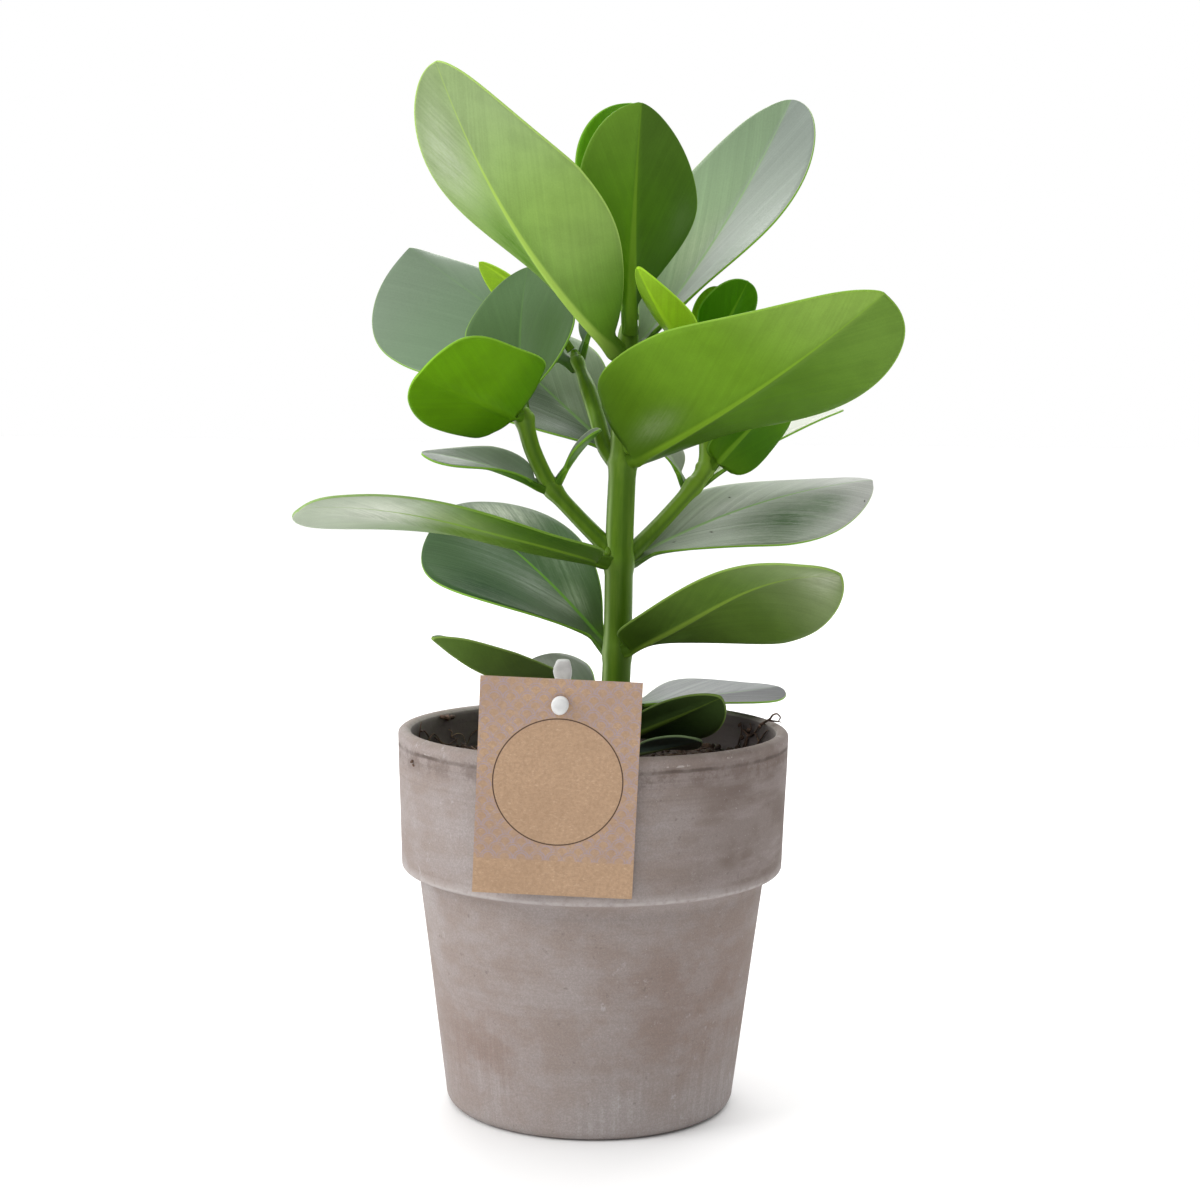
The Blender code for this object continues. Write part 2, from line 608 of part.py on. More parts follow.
def main():
    clear_scene()
    parts = new_collection("potted_clusia")
    cutters = new_collection("cutters")
    clay = material("clay", (0.36, 0.32, 0.29), 0.85)
    earth = material("earth", (0.045, 0.028, 0.018), 0.95)
    green_stem = material("green_stem", (0.19, 0.34, 0.06), 0.4)
    green_leaf = material("green_leaf", (0.09, 0.24, 0.04), 0.4)
    kraft = material("kraft", (0.42, 0.29, 0.20), 0.85)
    plastic = material("white_plastic", (0.85, 0.86, 0.84), 0.35)

    stem_cutter = make_cutter(make_stem("stem_clearance", GAP, cutters))
    stake_cutter = make_cutter(stake("stake_clearance", GAP, cutters))
    made = [
        make_pot(parts, clay),
        make_soil(parts, earth, stem_cutter, stake_cutter),
        make_stem("stem", 0, parts, green_stem),
        make_tag(parts, cutters, kraft),
        make_peg(parts, plastic),
    ]
    made += [make_leaf(spec, parts, green_leaf, stem_cutter) for spec in LEAVES]

    root = bpy.data.objects.new("potted_clusia", None)
    parts.objects.link(root)
    for obj in made:
        obj.parent = root


main()
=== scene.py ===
import math
import random
from dataclasses import dataclass

import bmesh
import bpy
import numpy as np
from mathutils import Matrix, Vector, noise


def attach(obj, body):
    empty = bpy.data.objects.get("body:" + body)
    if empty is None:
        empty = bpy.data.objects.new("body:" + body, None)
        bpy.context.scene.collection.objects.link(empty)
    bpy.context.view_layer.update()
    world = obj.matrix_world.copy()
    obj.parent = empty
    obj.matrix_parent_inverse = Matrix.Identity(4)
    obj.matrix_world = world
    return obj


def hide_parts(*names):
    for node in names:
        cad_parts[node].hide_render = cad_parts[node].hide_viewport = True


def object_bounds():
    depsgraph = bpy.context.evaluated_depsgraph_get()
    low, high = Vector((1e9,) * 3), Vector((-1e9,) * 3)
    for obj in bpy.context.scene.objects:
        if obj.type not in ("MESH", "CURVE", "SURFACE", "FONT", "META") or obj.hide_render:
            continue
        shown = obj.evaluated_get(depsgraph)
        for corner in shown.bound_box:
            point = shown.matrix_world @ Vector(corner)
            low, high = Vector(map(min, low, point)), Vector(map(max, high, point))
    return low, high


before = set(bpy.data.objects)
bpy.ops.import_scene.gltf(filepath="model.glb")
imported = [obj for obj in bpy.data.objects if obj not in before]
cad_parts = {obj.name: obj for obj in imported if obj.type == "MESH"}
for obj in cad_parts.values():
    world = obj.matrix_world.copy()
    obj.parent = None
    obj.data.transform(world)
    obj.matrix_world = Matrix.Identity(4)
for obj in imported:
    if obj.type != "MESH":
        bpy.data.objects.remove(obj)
cad_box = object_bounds()

MM = 0.001

# Values shared with the part's source, in millimetres and degrees
POT_HEIGHT = 126.0
RIM_RADIUS = 65.0
LIP_THICKNESS = 4.6
COLLAR_BOTTOM = 79.4
COLLAR_RADIUS = 63.4
COLLAR_EDGE = 1.6
BODY_TOP_RADIUS = 57.6
BODY_FOOT_RADIUS = 48.3
FOOT_ROUNDING = 4.0
WALL = 5.0
FLOOR = 6.0
SOIL_LEVEL = 113.0
TAG_WIDTH = 49.0
TAG_HEIGHT = 67.8
TAG_THICKNESS = 0.7
TAG_CENTRE = (-10.7, -67.1, 117.3)
TAG_LEAN = 5.0
TAG_TURN = 2.1
PEG_CENTRE = (-9.9, 143.2)
STAKE_X = -9.4
STAKE_Y = -54.5

# Each branch's axis, as x, y, z and radius
BRANCHES = {
    "main": [(6.6, 0, 88, 5.0), (7.3, 0, 138, 4.8), (8.1, 0, 182, 4.7), (8.8, 0, 218, 4.5),
             (9.6, 0, 245, 4.1), (10.4, 0, 257, 3.2), (10.7, 0, 261, 1.6)],
    "left": [(8, 0, 181, 3.2), (3, 0, 187, 2.9), (-6, 1, 196, 2.7), (-15, 1, 206, 2.7),
             (-21, 0, 218, 2.8), (-24, -1, 229, 2.8), (-25, -1, 231, 1.6)],
    "back": [(8, 0, 212, 3.0), (3, 3, 219, 2.8), (0, 8, 229, 2.7), (-3, 14, 238, 2.8),
             (-7, 22, 248, 2.8), (-8, 23, 251, 1.6)],
    "right": [(9, 1, 181, 3.2), (14, 3, 186, 2.8), (22, 7, 194, 2.6), (31, 11, 204, 2.6),
              (37, 15, 213, 2.7), (36, 15, 230, 2.4), (33, 8, 246, 2.4), (33, 7, 249, 1.4)],
}
NODE_HEIGHTS = {
    "main": [122, 134, 152, 181, 214, 249],
    "left": [205, 228],
    "back": [247],
    "right": [206, 212, 246],
}
BUDS = [(10.6, -4.2, 219.6, 1.9), (4.2, -3.4, 184.5, 1.3), (-25.2, -2.6, 231.2, 1.5),
        (12.2, -2.2, 262.0, 1.4)]
STALK = 3.3
BLADE_THICKNESS = 1.0
MARGIN_THICKNESS = 0.7
KEEL_THICKNESS = 3.2

# What lies on the soil, fineness of the meshes, and how far inside the part's box a leaf stays
CRUMBS = 620
BARK_PIECES = 80
FIBRES = 90
STEM_SIDES = 28
POT_SIDES = 160
SOIL_SIDES = 110
PEG_SIDES = 40
BOX_MARGIN = 0.03


@dataclass
class Leaf:
    """A leaf's form. Minus and plus are its halves, each with its share of half the width, the
    place where it is widest, and the powers that round its base and its tip."""

    name: str
    branch: str
    height: float
    tip: tuple
    width: float
    roll: tuple
    fold: tuple
    bow: float = 0
    sway: float = 0
    curl: float = 0
    azimuth: float = None
    minus: tuple = (1.0, 0.6, 1.0, 2.2)
    plus: tuple = (1.0, 0.6, 1.0, 2.2)
    petiole: float = 8
    stalk: float = STALK


LEAVES = [
    Leaf("leaf_1_right", "main", 118, (34, -36, 128), 17, (-12, -20), (15, 0),
         minus=(1.2, 0.45, 1.0, 1.4), plus=(0.8, 0.6, 1.0, 2.2)),
    Leaf("leaf_2_right", "main", 123, (40, -45, 143), 20, (-30, -44), (8, -6),
         minus=(1.3, 0.45, 0.4, 1.8), plus=(0.7, 0.45, 0.4, 1.8)),
    Leaf("leaf_2_left", "main", 132, (-22, 36, 144), 22, (-16, -16), (25, 8)),
    Leaf("leaf_3_left", "main", 133, (-49, -58, 162), 34, (0, 0), (40, 30), bow=-2, sway=2,
         minus=(0.75, 0.65, 1.2, 1.6), plus=(1.0, 0.65, 1.6, 1.3)),
    Leaf("leaf_3_right", "main", 133, (66, 54, 133), 36, (8, 8), (13, -2),
         minus=(0.92, 0.6, 1.0, 2.0), plus=(0.95, 0.55, 1.0, 1.8)),
    Leaf("leaf_4_left", "main", 151, (-51, 60, 196), 56, (-25, -25), (25, -10), bow=4,
         minus=(1.12, 0.6, 0.8, 2.0), plus=(0.75, 0.6, 0.8, 2.2)),
    Leaf("leaf_4_right", "main", 152, (75, -60, 183), 46, (-22, -36), (0, -14), bow=5, sway=-1.5,
         azimuth=-48, minus=(1.2, 0.5, 1.3, 1.8), plus=(0.6, 0.5, 0.25, 2.6), petiole=5),
    Leaf("leaf_5_left", "main", 182, (-90, -60, 201), 39, (2, 20), (12, 0), bow=1.5, sway=-1,
         minus=(1.0, 0.7, 0.3, 3.0), plus=(1.0, 0.65, 0.3, 2.6)),
    Leaf("leaf_5_right", "main", 181, (98, 56, 207), 44, (26, 26), (15, -18), bow=5,
         minus=(0.7, 0.45, 0.7, 2.4), plus=(1.18, 0.42, 0.9, 1.6)),
    Leaf("leaf_6_left", "main", 216, (-36, 68, 254), 48, (-30, -35), (25, 0),
         minus=(1.03, 0.6, 0.8, 2.2), plus=(0.9, 0.6, 0.8, 2.2)),
    Leaf("leaf_6_right", "main", 215, (86, -60, 268), 56, (-27, -36), (30, -8), bow=-3,
         azimuth=-41, minus=(0.91, 0.5, 0.4, 2.6), plus=(1.18, 0.38, 0.2, 1.5), petiole=5),
    Leaf("leaf_7_left", "main", 249, (-49, -52, 336), 47, (14, 22), (40, -12), bow=-7, curl=1,
         minus=(1.26, 0.57, 0.65, 1.5), plus=(0.75, 0.66, 1.15, 1.9)),
    Leaf("leaf_7_right", "main", 250, (67, 60, 340), 44, (10, 10), (30, 0), bow=-3, curl=1.5,
         minus=(1.1, 0.55, 0.8, 1.8), plus=(1.08, 0.5, 0.8, 2.0)),
    Leaf("leaf_8_front", "main", 256, (13, -12, 329), 43, (0, 0), (25, 5), bow=-4, curl=2.5,
         azimuth=-70, minus=(1.14, 0.5, 1.0, 1.5), plus=(0.85, 0.6, 1.0, 2.0), stalk=2.8),
    Leaf("leaf_8_back", "main", 256, (12, 14, 332), 41, (0, 0), (25, 5), bow=-4, azimuth=110,
         minus=(1.0, 0.66, 1.0, 2.2), plus=(0.82, 0.6, 1.0, 1.8), stalk=2.8),
    Leaf("leaf_left_1_out", "left", 205, (-57, -6, 217), 20, (-22, -22), (30, 5), bow=2,
         minus=(1.1, 0.55, 0.6, 2.0), plus=(0.95, 0.4, 0.4, 1.3), petiole=6, stalk=2.2),
    Leaf("leaf_left_1_in", "left", 206, (1, -2, 225), 14, (15, 15), (30, 15), bow=1.5,
         azimuth=-8, minus=(0.6, 0.6, 1.0, 2.2), petiole=6, stalk=2.0),
    Leaf("leaf_left_2_front", "left", 229, (-56, -38, 242), 44, (46, 46), (8, 0),
         minus=(1.0, 0.5, 0.12, 3.0), plus=(0.73, 0.5, 0.15, 1.9), petiole=4, stalk=2.6),
    Leaf("leaf_left_2_back", "left", 229, (-24, 28, 279), 39, (-20, -20), (25, 8), curl=-2,
         minus=(0.95, 0.5, 0.6, 1.5), plus=(1.15, 0.42, 0.6, 1.5), stalk=2.4),
    Leaf("leaf_back_1_out", "back", 245, (-67, 60, 287), 56, (-40, -42), (5, -15),
         minus=(1.32, 0.55, 0.6, 2.4), plus=(0.5, 0.5, 0.6, 1.4), stalk=2.4),
    Leaf("leaf_back_1_in", "back", 248, (6, 34, 272), 16, (30, 30), (30, 8), bow=2,
         azimuth=-5, petiole=6, stalk=1.8),
    Leaf("leaf_back_2_out", "back", 251, (-41, 42, 281), 14, (100, 110), (5, 0), bow=3,
         minus=(0.3, 0.6, 1.0, 2.0), plus=(1.15, 0.55, 1.0, 1.5), petiole=6, stalk=1.4),
    Leaf("leaf_right_1_in", "right", 205, (20, 21, 223), 16, (-30, -30), (15, 5), bow=1,
         azimuth=-175, petiole=6, stalk=1.8),
    Leaf("leaf_right_1_out", "right", 206, (85, 59, 232), 24, (0, 0), (15, 0), bow=3.5,
         sway=-1, petiole=6, stalk=2.0),
    Leaf("leaf_right_2_front", "right", 212, (62, 12, 238), 28, (-58, -45), (-5, 0),
         minus=(0.98, 0.6, 0.3, 2.4), plus=(0.62, 0.45, 0.3, 2.2), petiole=3, stalk=2.4),
    Leaf("leaf_right_3_left", "right", 248, (13, -20, 277), 14, (20, 20), (30, 15), bow=-1,
         azimuth=-150, minus=(1.15, 0.35, 0.5, 1.4), plus=(1.0, 0.45, 0.5, 1.6), petiole=5,
         stalk=1.4),
    Leaf("leaf_right_3_right", "right", 245, (49, 3, 274), 20, (-50, -55), (15, -5),
         minus=(0.72, 0.6, 1.0, 2.2), plus=(1.05, 0.5, 1.0, 2.0), petiole=6, stalk=1.8),
    Leaf("leaf_right_3_back", "right", 247, (40, 22, 273), 12, (0, 0), (30, 8),
         petiole=5, stalk=1.4),
]

# How each leaf is coloured, in linear light: a tone near its base, one in its middle and one
# near its tip. These hold the leaf's own colour and also painted light: painted shade that
# darkens a blade towards the stem, and painted sheen that makes it paler and greyer where it
# catches the light. There are factors for its minus and plus halves, which paint one half lighter
# and the other darker as the light falls on them, and values for how clear its midrib, veins and
# gloss are. Last come soft patches (t, v, spread along t, spread along v, tone, share): painted
# sheen where the wax shines; darker ones, some bringing back the blade's own green and some
# laying painted shade near the stem; and a few dark specks
UPPER = ((0.07, 0.13, 0.05), (0.1, 0.17, 0.085), (0.11, 0.18, 0.1))
UNDER = ((0.06, 0.16, 0.01), (0.1, 0.24, 0.015), (0.11, 0.25, 0.03))
YOUNG = ((0.19, 0.4, 0.012), (0.32, 0.6, 0.018), (0.27, 0.5, 0.025))
# painted shade: the lowest leaf lies under the one above it, so its tones are dark
LOWEST_IN_SHADE = ((0.03, 0.045, 0.03), (0.05, 0.075, 0.06), (0.055, 0.08, 0.065))
SPECK = (0.03, 0.03, 0.02)
LOOKS = {
    "leaf_1_right": dict(upper=LOWEST_IN_SHADE, under=LOWEST_IN_SHADE),
    # painted shade: this leaf lies in shadow under the leaves above, so both of its sides are very
    # dark
    "leaf_2_right": dict(
        upper=((0.03, 0.05, 0.02), (0.04, 0.06, 0.03), (0.05, 0.07, 0.04)),
        under=((0.025, 0.05, 0.01), (0.028, 0.052, 0.012), (0.028, 0.05, 0.012))),
    "leaf_2_left": dict(
        upper=((0.06, 0.1, 0.05), (0.09, 0.12, 0.075), (0.15, 0.165, 0.13)), gloss=0.1),
    "leaf_3_left": dict(
        under=((0.06, 0.12, 0.015), (0.095, 0.155, 0.035), (0.075, 0.135, 0.02)),
        halves=((1.05, 1.05, 1.15), (1.6, 1.45, 1.8)),
        sheen_shade_and_tone_patches=[(0.6, 0.95, 0.3, 0.3, (0.17, 0.21, 0.1), 0.7)]),
    # painted sheen: its grey upper tones are light reflected off the blade, and the halves' factors
    # paint one half lighter and the other darker
    "leaf_3_right": dict(
        upper=((0.19, 0.21, 0.19), (0.25, 0.255, 0.26), (0.2, 0.205, 0.21)),
        halves=((1.18,) * 3, (0.45,) * 3), gloss=0.06, veins=1.5),
    "leaf_4_left": dict(
        upper=((0.055, 0.1, 0.03), (0.047, 0.098, 0.033), (0.045, 0.09, 0.035)),
        gloss=0.03, veins=0.45, rib=1.5,
        sheen_shade_and_tone_patches=[(0.4, -0.22, 0.14, 0.2, (0.27, 0.31, 0.26), 0.75),
                 (0.26, -0.1, 0.06, 0.25, (0.3, 0.34, 0.27), 0.6),
                 (0.27, 0.25, 0.08, 0.25, (0.26, 0.33, 0.21), 0.7),
                 (0.45, 0.55, 0.13, 0.4, (0.22, 0.29, 0.19), 0.6),
                 (0.62, -0.25, 0.15, 0.25, (0.17, 0.22, 0.17), 0.5),
                 (0.5, -0.75, 0.2, 0.28, (0.0, 0.03, 0.0), 0.9),
                 (0.84, 0.5, 0.15, 0.5, (0.48, 0.52, 0.42), 0.85)]),
    "leaf_4_right": dict(
        under=((0.052, 0.1, 0.012), (0.104, 0.18, 0.03), (0.21, 0.275, 0.12)),
        halves=((0.78, 0.8, 0.74), (0.95, 1.0, 0.9)),
        sheen_shade_and_tone_patches=[(0.95, -0.1, 0.1, 0.5, (0.5, 0.53, 0.4), 0.6),
                 (0.2, -0.5, 0.08, 0.3, (0.11, 0.2, 0.04), 0.6)]),
    # painted sheen: the pale tip and the palest patch are light reflected off the blade; the two
    # dark patches near the stem are painted shade
    "leaf_5_left": dict(
        under=((0.08, 0.16, 0.02), (0.08, 0.18, 0.012), (0.36, 0.42, 0.31)),
        rib_at=-0.36, rib=1.1,
        sheen_shade_and_tone_patches=[(0.77, -0.3, 0.13, 0.6, (0.64, 0.67, 0.58), 0.85),
                 (0.57, -0.5, 0.12, 0.35, (0.32, 0.42, 0.16), 0.5),
                 (0.45, 0.35, 0.14, 0.55, (0.24, 0.34, 0.09), 0.6),
                 (0.28, -0.85, 0.2, 0.3, (0.03, 0.085, 0.005), 0.8),
                 (0.12, 0.3, 0.1, 0.5, (0.03, 0.085, 0.005), 0.6)]),
    # painted sheen: its whitish tones and pale patch are light reflected off the wax; the dark
    # patches bring back the blade's own green, and the smallest are dark specks
    "leaf_5_right": dict(
        upper=((0.23, 0.28, 0.2), (0.36, 0.4, 0.33), (0.42, 0.43, 0.4)),
        gloss=0.04, veins=0.8, rib=1.6,
        sheen_shade_and_tone_patches=[(0.46, -0.25, 0.16, 0.3, (0.6, 0.61, 0.58), 0.7),
                 (0.55, 0.5, 0.15, 0.36, (0.035, 0.085, 0.022), 1.0),
                 (0.74, 0.42, 0.12, 0.3, (0.085, 0.145, 0.065), 0.85),
                 (0.42, 0.85, 0.15, 0.24, (0.06, 0.105, 0.04), 0.9),
                 (0.42, 0.4, 0.08, 0.2, (0.12, 0.17, 0.1), 0.5),
                 (0.407, 0.0, 0.0045, 0.03, SPECK, 1.0),
                 (0.295, 0.3, 0.004, 0.028, SPECK, 1.0),
                 (0.171, 0.25, 0.005, 0.03, SPECK, 1.0),
                 (0.469, -0.5, 0.004, 0.025, SPECK, 1.0),
                 (0.915, 0.86, 0.004, 0.03, SPECK, 1.0)]),
    "leaf_6_left": dict(
        upper=((0.17, 0.23, 0.14), (0.24, 0.3, 0.2), (0.19, 0.26, 0.16)),
        gloss=0.04, veins=0.7, rib=1.4, halves=((0.42, 0.5, 0.4), (1.1, 1.1, 1.1)),
        sheen_shade_and_tone_patches=[(0.42, 0.12, 0.07, 0.2, (0.36, 0.42, 0.31), 0.8),
                 (0.3, -0.5, 0.08, 0.22, (0.32, 0.36, 0.32), 0.6)]),
    "leaf_6_right": dict(
        under=((0.057, 0.13, 0.004), (0.103, 0.22, 0.012), (0.158, 0.277, 0.04)),
        halves=((0.74, 0.78, 0.75), (1.3, 1.22, 1.4)),
        sheen_shade_and_tone_patches=[(0.17, 0.24, 0.085, 0.13, (0.24, 0.31, 0.15), 0.55)]),
    "leaf_7_left": dict(
        under=((0.11, 0.24, 0.018), (0.235, 0.375, 0.085), (0.24, 0.33, 0.14)),
        sheen_shade_and_tone_patches=[(0.75, 0.6, 0.16, 0.45, (0.5, 0.55, 0.42), 0.6),
                 (0.43, 0.4, 0.14, 0.45, (0.07, 0.18, 0.008), 1.0)]),
    # painted sheen: its pale grey tones and pale patches are light reflected off the upper side
    "leaf_7_right": dict(
        upper=((0.3, 0.36, 0.27), (0.245, 0.315, 0.215), (0.175, 0.23, 0.16)),
        halves=((0.86, 0.98, 0.76), (1.07, 0.97, 1.18)), veins=0.42,
        sheen_shade_and_tone_patches=[(0.4, 0.15, 0.16, 0.25, (0.42, 0.45, 0.42), 0.6),
                 (0.4, -0.25, 0.13, 0.3, (0.38, 0.46, 0.28), 0.6)]),
    "leaf_8_front": dict(
        under=((0.038, 0.11, 0.001), (0.055, 0.145, 0.005), (0.066, 0.145, 0.014)),
        halves=((0.97, 0.95, 1.0), (1.75, 1.62, 1.5)),
        sheen_shade_and_tone_patches=[(0.5, -0.8, 0.1, 0.2, (0.1, 0.16, 0.06), 0.4)]),
    "leaf_8_back": dict(
        upper=((0.11, 0.34, 0.004), (0.12, 0.36, 0.004), (0.12, 0.36, 0.004))),
    "leaf_left_1_out": dict(
        upper=((0.2, 0.27, 0.18), (0.135, 0.185, 0.115), (0.095, 0.125, 0.087)), veins=0.4,
        sheen_shade_and_tone_patches=[(0.62, 0.0, 0.22, 0.3, (0.32, 0.36, 0.3), 0.5)]),
    "leaf_left_1_in": dict(
        upper=((0.08, 0.13, 0.06), (0.18, 0.22, 0.16), (0.16, 0.2, 0.14))),
    "leaf_left_2_front": dict(
        under=((0.08, 0.22, 0.002), (0.12, 0.29, 0.004), (0.12, 0.295, 0.004)),
        halves=((1.06, 1.05, 1.05), (0.93, 0.94, 0.93)), rib=0.12),
    "leaf_left_2_back": dict(
        upper=((0.05, 0.105, 0.018), (0.055, 0.115, 0.03), (0.082, 0.152, 0.056)),
        veins=0.25, rib=0.3, halves=((1.02, 1.02, 1.02), (0.82, 0.86, 0.78)),
        sheen_shade_and_tone_patches=[(0.5, 0.55, 0.2, 0.35, (0.03, 0.08, 0.008), 0.9)]),
    "leaf_back_1_out": dict(
        upper=((0.1, 0.19, 0.08), (0.132, 0.205, 0.117), (0.143, 0.2, 0.13)),
        veins=0.25, rib=0.3),
    "leaf_back_2_out": dict(
        upper=YOUNG, under=((0.15, 0.31, 0.006), (0.18, 0.33, 0.008), (0.19, 0.34, 0.01))),
    "leaf_right_1_in": dict(
        upper=((0.1, 0.16, 0.07), (0.18, 0.22, 0.14), (0.18, 0.22, 0.14))),
    # painted sheen: its pale tones are light reflected off the upper side
    "leaf_right_1_out": dict(
        upper=((0.24, 0.3, 0.16), (0.5, 0.52, 0.43), (0.52, 0.54, 0.46))),
    "leaf_right_2_front": dict(
        upper=UNDER, under=((0.062, 0.16, 0.002), (0.043, 0.135, 0.001), (0.075, 0.205, 0.001))),
    "leaf_right_3_left": dict(
        upper=YOUNG, under=YOUNG, halves=((1.28, 1.2, 1.3), (0.98, 0.95, 1.4))),
    "leaf_right_3_right": dict(
        upper=UNDER, under=((0.03, 0.13, 0.001), (0.05, 0.19, 0.001), (0.055, 0.2, 0.001))),
    "leaf_right_3_back": dict(upper=YOUNG, under=UNDER),
}

# Thin roots on the inner wall, as points (angle from +X, height) and a radius
WALL_ROOTS = [
    ([(171, 114), (169, 117), (171, 121), (168, 125)], 0.4),
    ([(169, 122), (165, 121.5), (161, 118), (163, 114)], 0.35),
    ([(164, 117), (158, 119.5), (154, 117), (151, 113)], 0.3),
    ([(157, 118), (152, 115.5), (148, 114.5), (143, 116)], 0.28),
    ([(128, 114), (131, 118), (136, 117), (139, 113)], 0.3),
    ([(32, 113), (31, 117), (30, 120.5), (31, 123.5)], 0.4),
    ([(27, 115), (26, 119), (24, 122), (25, 124)], 0.4),
    ([(29, 121), (25, 119.5), (21, 121.5), (17, 124.5), (12, 125.5)], 0.42),
    ([(29, 114), (26, 119), (21, 121), (17, 118), (19, 114)], 0.4),
    ([(22, 114), (18, 118), (13, 122), (9, 124)], 0.45),
    ([(12, 115), (8, 118), (4, 117), (0, 120)], 0.35),
]
PALE_ROOTS = [
    ([(147.5, 119.6), (146, 118.4), (146.5, 117), (144.4, 116), (143, 113)], 0.22),
    ([(146.5, 117), (143.5, 117.6), (140.5, 116.8), (138.9, 112.6)], 0.2),
    ([(163, 116.5), (160, 114.5), (157, 114.8)], 0.18),
]
# A curled twig on the lip and a shorter one beside it, as points and a radius
TWIGS = [
    ([(56.8, 16.6, 124.6), (58.6, 12.5, 126.6), (59.6, 9.6, 127.8), (60.4, 8.2, 129.3),
      (61.8, 8.0, 129.8), (63.0, 8.6, 128.6), (62.6, 9.8, 127.2)], 0.5),
    ([(59.2, 10.6, 127.2), (60.9, 10.2, 127.0), (62.6, 10.6, 126.8), (63.6, 11.6, 126.4)], 0.4),
]
# Lumps of soil stuck to the pot, as place, size and scale along the axes
STUCK_CRUMBS = [
    ((-57.9, -29.3, 118.6), 0.75, (1.0, 0.8, 1.2)),
    ((-57.4, -30.0, 117.4), 0.45, (1.0, 0.8, 1.3)),
    ((-52.2, 28.6, 124.4), 1.3, (1.2, 0.8, 0.8)),
    ((-50.6, 31.2, 123.8), 1.5, (1.1, 0.8, 0.8)),
    ((-49.2, 33.4, 123.6), 1.1, (1.2, 0.8, 0.8)),
    ((-58.2, 11.0, 116.5), 0.9, (0.8, 1.2, 0.8)),
    ((-57.2, 15.5, 114.6), 0.9, (0.8, 1.2, 0.8)),
    ((50.6, 29.6, 122.6), 0.8, (0.9, 1.1, 1.0)),
    ((53.4, 24.2, 121.6), 0.9, (0.9, 1.1, 1.0)),
    ((51.5, 27.4, 118.6), 0.9, (0.9, 1.1, 1.2)),
    ((56.6, 14.2, 124.4), 0.7, (0.9, 1.2, 0.8)),
]


# Material helpers

class Value:
    """What a node gives; arithmetic on it adds further nodes."""

    def __init__(self, nodes, socket):
        self.nodes = nodes
        self.socket = socket

    def do(self, operation, *others):
        numbers = dict(enumerate((self, *others)))
        return self.nodes.add("ShaderNodeMath", numbers, operation=operation)

    def __add__(self, other):
        return self.do("ADD", other)

    def __sub__(self, other):
        return self.do("SUBTRACT", other)

    def __mul__(self, other):
        return self.do("MULTIPLY", other)

    def __truediv__(self, other):
        return self.do("DIVIDE", other)

    def __abs__(self):
        return self.do("ABSOLUTE")

    def ease(self, low, high, start=0.0, end=1.0):
        """Smooth step between two limits."""
        numbers = dict(enumerate((self, low, high, start, end)))
        return self.nodes.add("ShaderNodeMapRange", numbers, interpolation_type="SMOOTHSTEP")

    def rest(self):
        """What is left of 1."""
        return self.nodes.add("ShaderNodeMath", {0: 1.0, 1: self}, operation="SUBTRACT")

    def fade(self):
        """1 at zero, falling softly as the value grows."""
        return (self * -1.0).do("EXPONENT")

    def bell(self, middle, size):
        """1 at the middle, falling softly to both sides."""
        off = (self - middle) / size
        return (off * off).fade()


def ellipse(x, middle_x, size_x, y, middle_y, size_y):
    """The squared distance from an ellipse's middle, which is 1 on the ellipse."""
    off_x = (x - middle_x) / size_x
    off_y = (y - middle_y) / size_y
    return off_x.do("MULTIPLY_ADD", off_x, off_y * off_y)


class Nodes:
    """A node tree that grows by short calls."""

    def __init__(self, tree):
        self.tree = tree

    def put(self, socket, value):
        if isinstance(value, Value):
            self.tree.links.new(value.socket, socket)
        elif socket.type == "RGBA":
            socket.default_value = (*value, 1.0)
        else:
            socket.default_value = value

    def add(self, kind, inputs, output=0, **props):
        node = self.tree.nodes.new(kind)
        for key, value in props.items():
            setattr(node, key, value)
        for key, value in inputs.items():
            self.put(node.inputs[key], value)
        return Value(self, node.outputs[output])

    def mix(self, share, a, b, blend="MIX"):
        inputs = {"Factor": share, 6: a, 7: b}
        return self.add("ShaderNodeMix", inputs, 2, data_type="RGBA", blend_type=blend)

    def place(self, kind="Object"):
        return self.add("ShaderNodeTexCoord", {}, kind)

    def attribute(self, name, output="Fac"):
        return self.add("ShaderNodeAttribute", {}, output, attribute_name=name)

    def split(self, vector):
        first = self.add("ShaderNodeSeparateXYZ", {0: vector})
        return [Value(self, socket) for socket in first.socket.node.outputs]

    def join(self, *values):
        return self.add("ShaderNodeCombineXYZ", dict(enumerate(values)))

    def noise(self, vector, scale, detail=3.0, rough=0.5, stretch=None):
        """Noise at a vector or at three values; a stretch scales the axes first."""
        if isinstance(vector, tuple):
            vector = self.join(*vector)
        if stretch:
            vector = self.add("ShaderNodeMapping", {"Vector": vector, "Scale": stretch})
        inputs = {"Vector": vector, "Scale": scale, "Detail": detail, "Roughness": rough}
        return self.add("ShaderNodeTexNoise", inputs, "Fac")

    def bump(self, height, strength, distance):
        inputs = {"Height": height, "Strength": strength, "Distance": distance}
        return self.add("ShaderNodeBump", inputs)


class Look(Nodes):
    """A material that starts from two tones and is painted over, tone by tone."""

    def __init__(self, name):
        self.mat = bpy.data.materials.new(name)
        self.mat.use_nodes = True
        super().__init__(self.mat.node_tree)

    def start(self, share, first, second):
        self.colour = self.mix(share, first, second)

    def paint(self, share, tone, blend="MIX"):
        self.colour = self.mix(share, self.colour, tone, blend)

    def finish(self, roughness, normal=None, **numbers):
        shader = self.tree.nodes["Principled BSDF"]
        self.put(shader.inputs["Base Color"], self.colour)
        self.put(shader.inputs["Roughness"], roughness)
        if normal is not None:
            self.put(shader.inputs["Normal"], normal)
        for key, value in numbers.items():
            self.put(shader.inputs[key.replace("_", " ")], value)
        return self.mat


# Mesh helpers

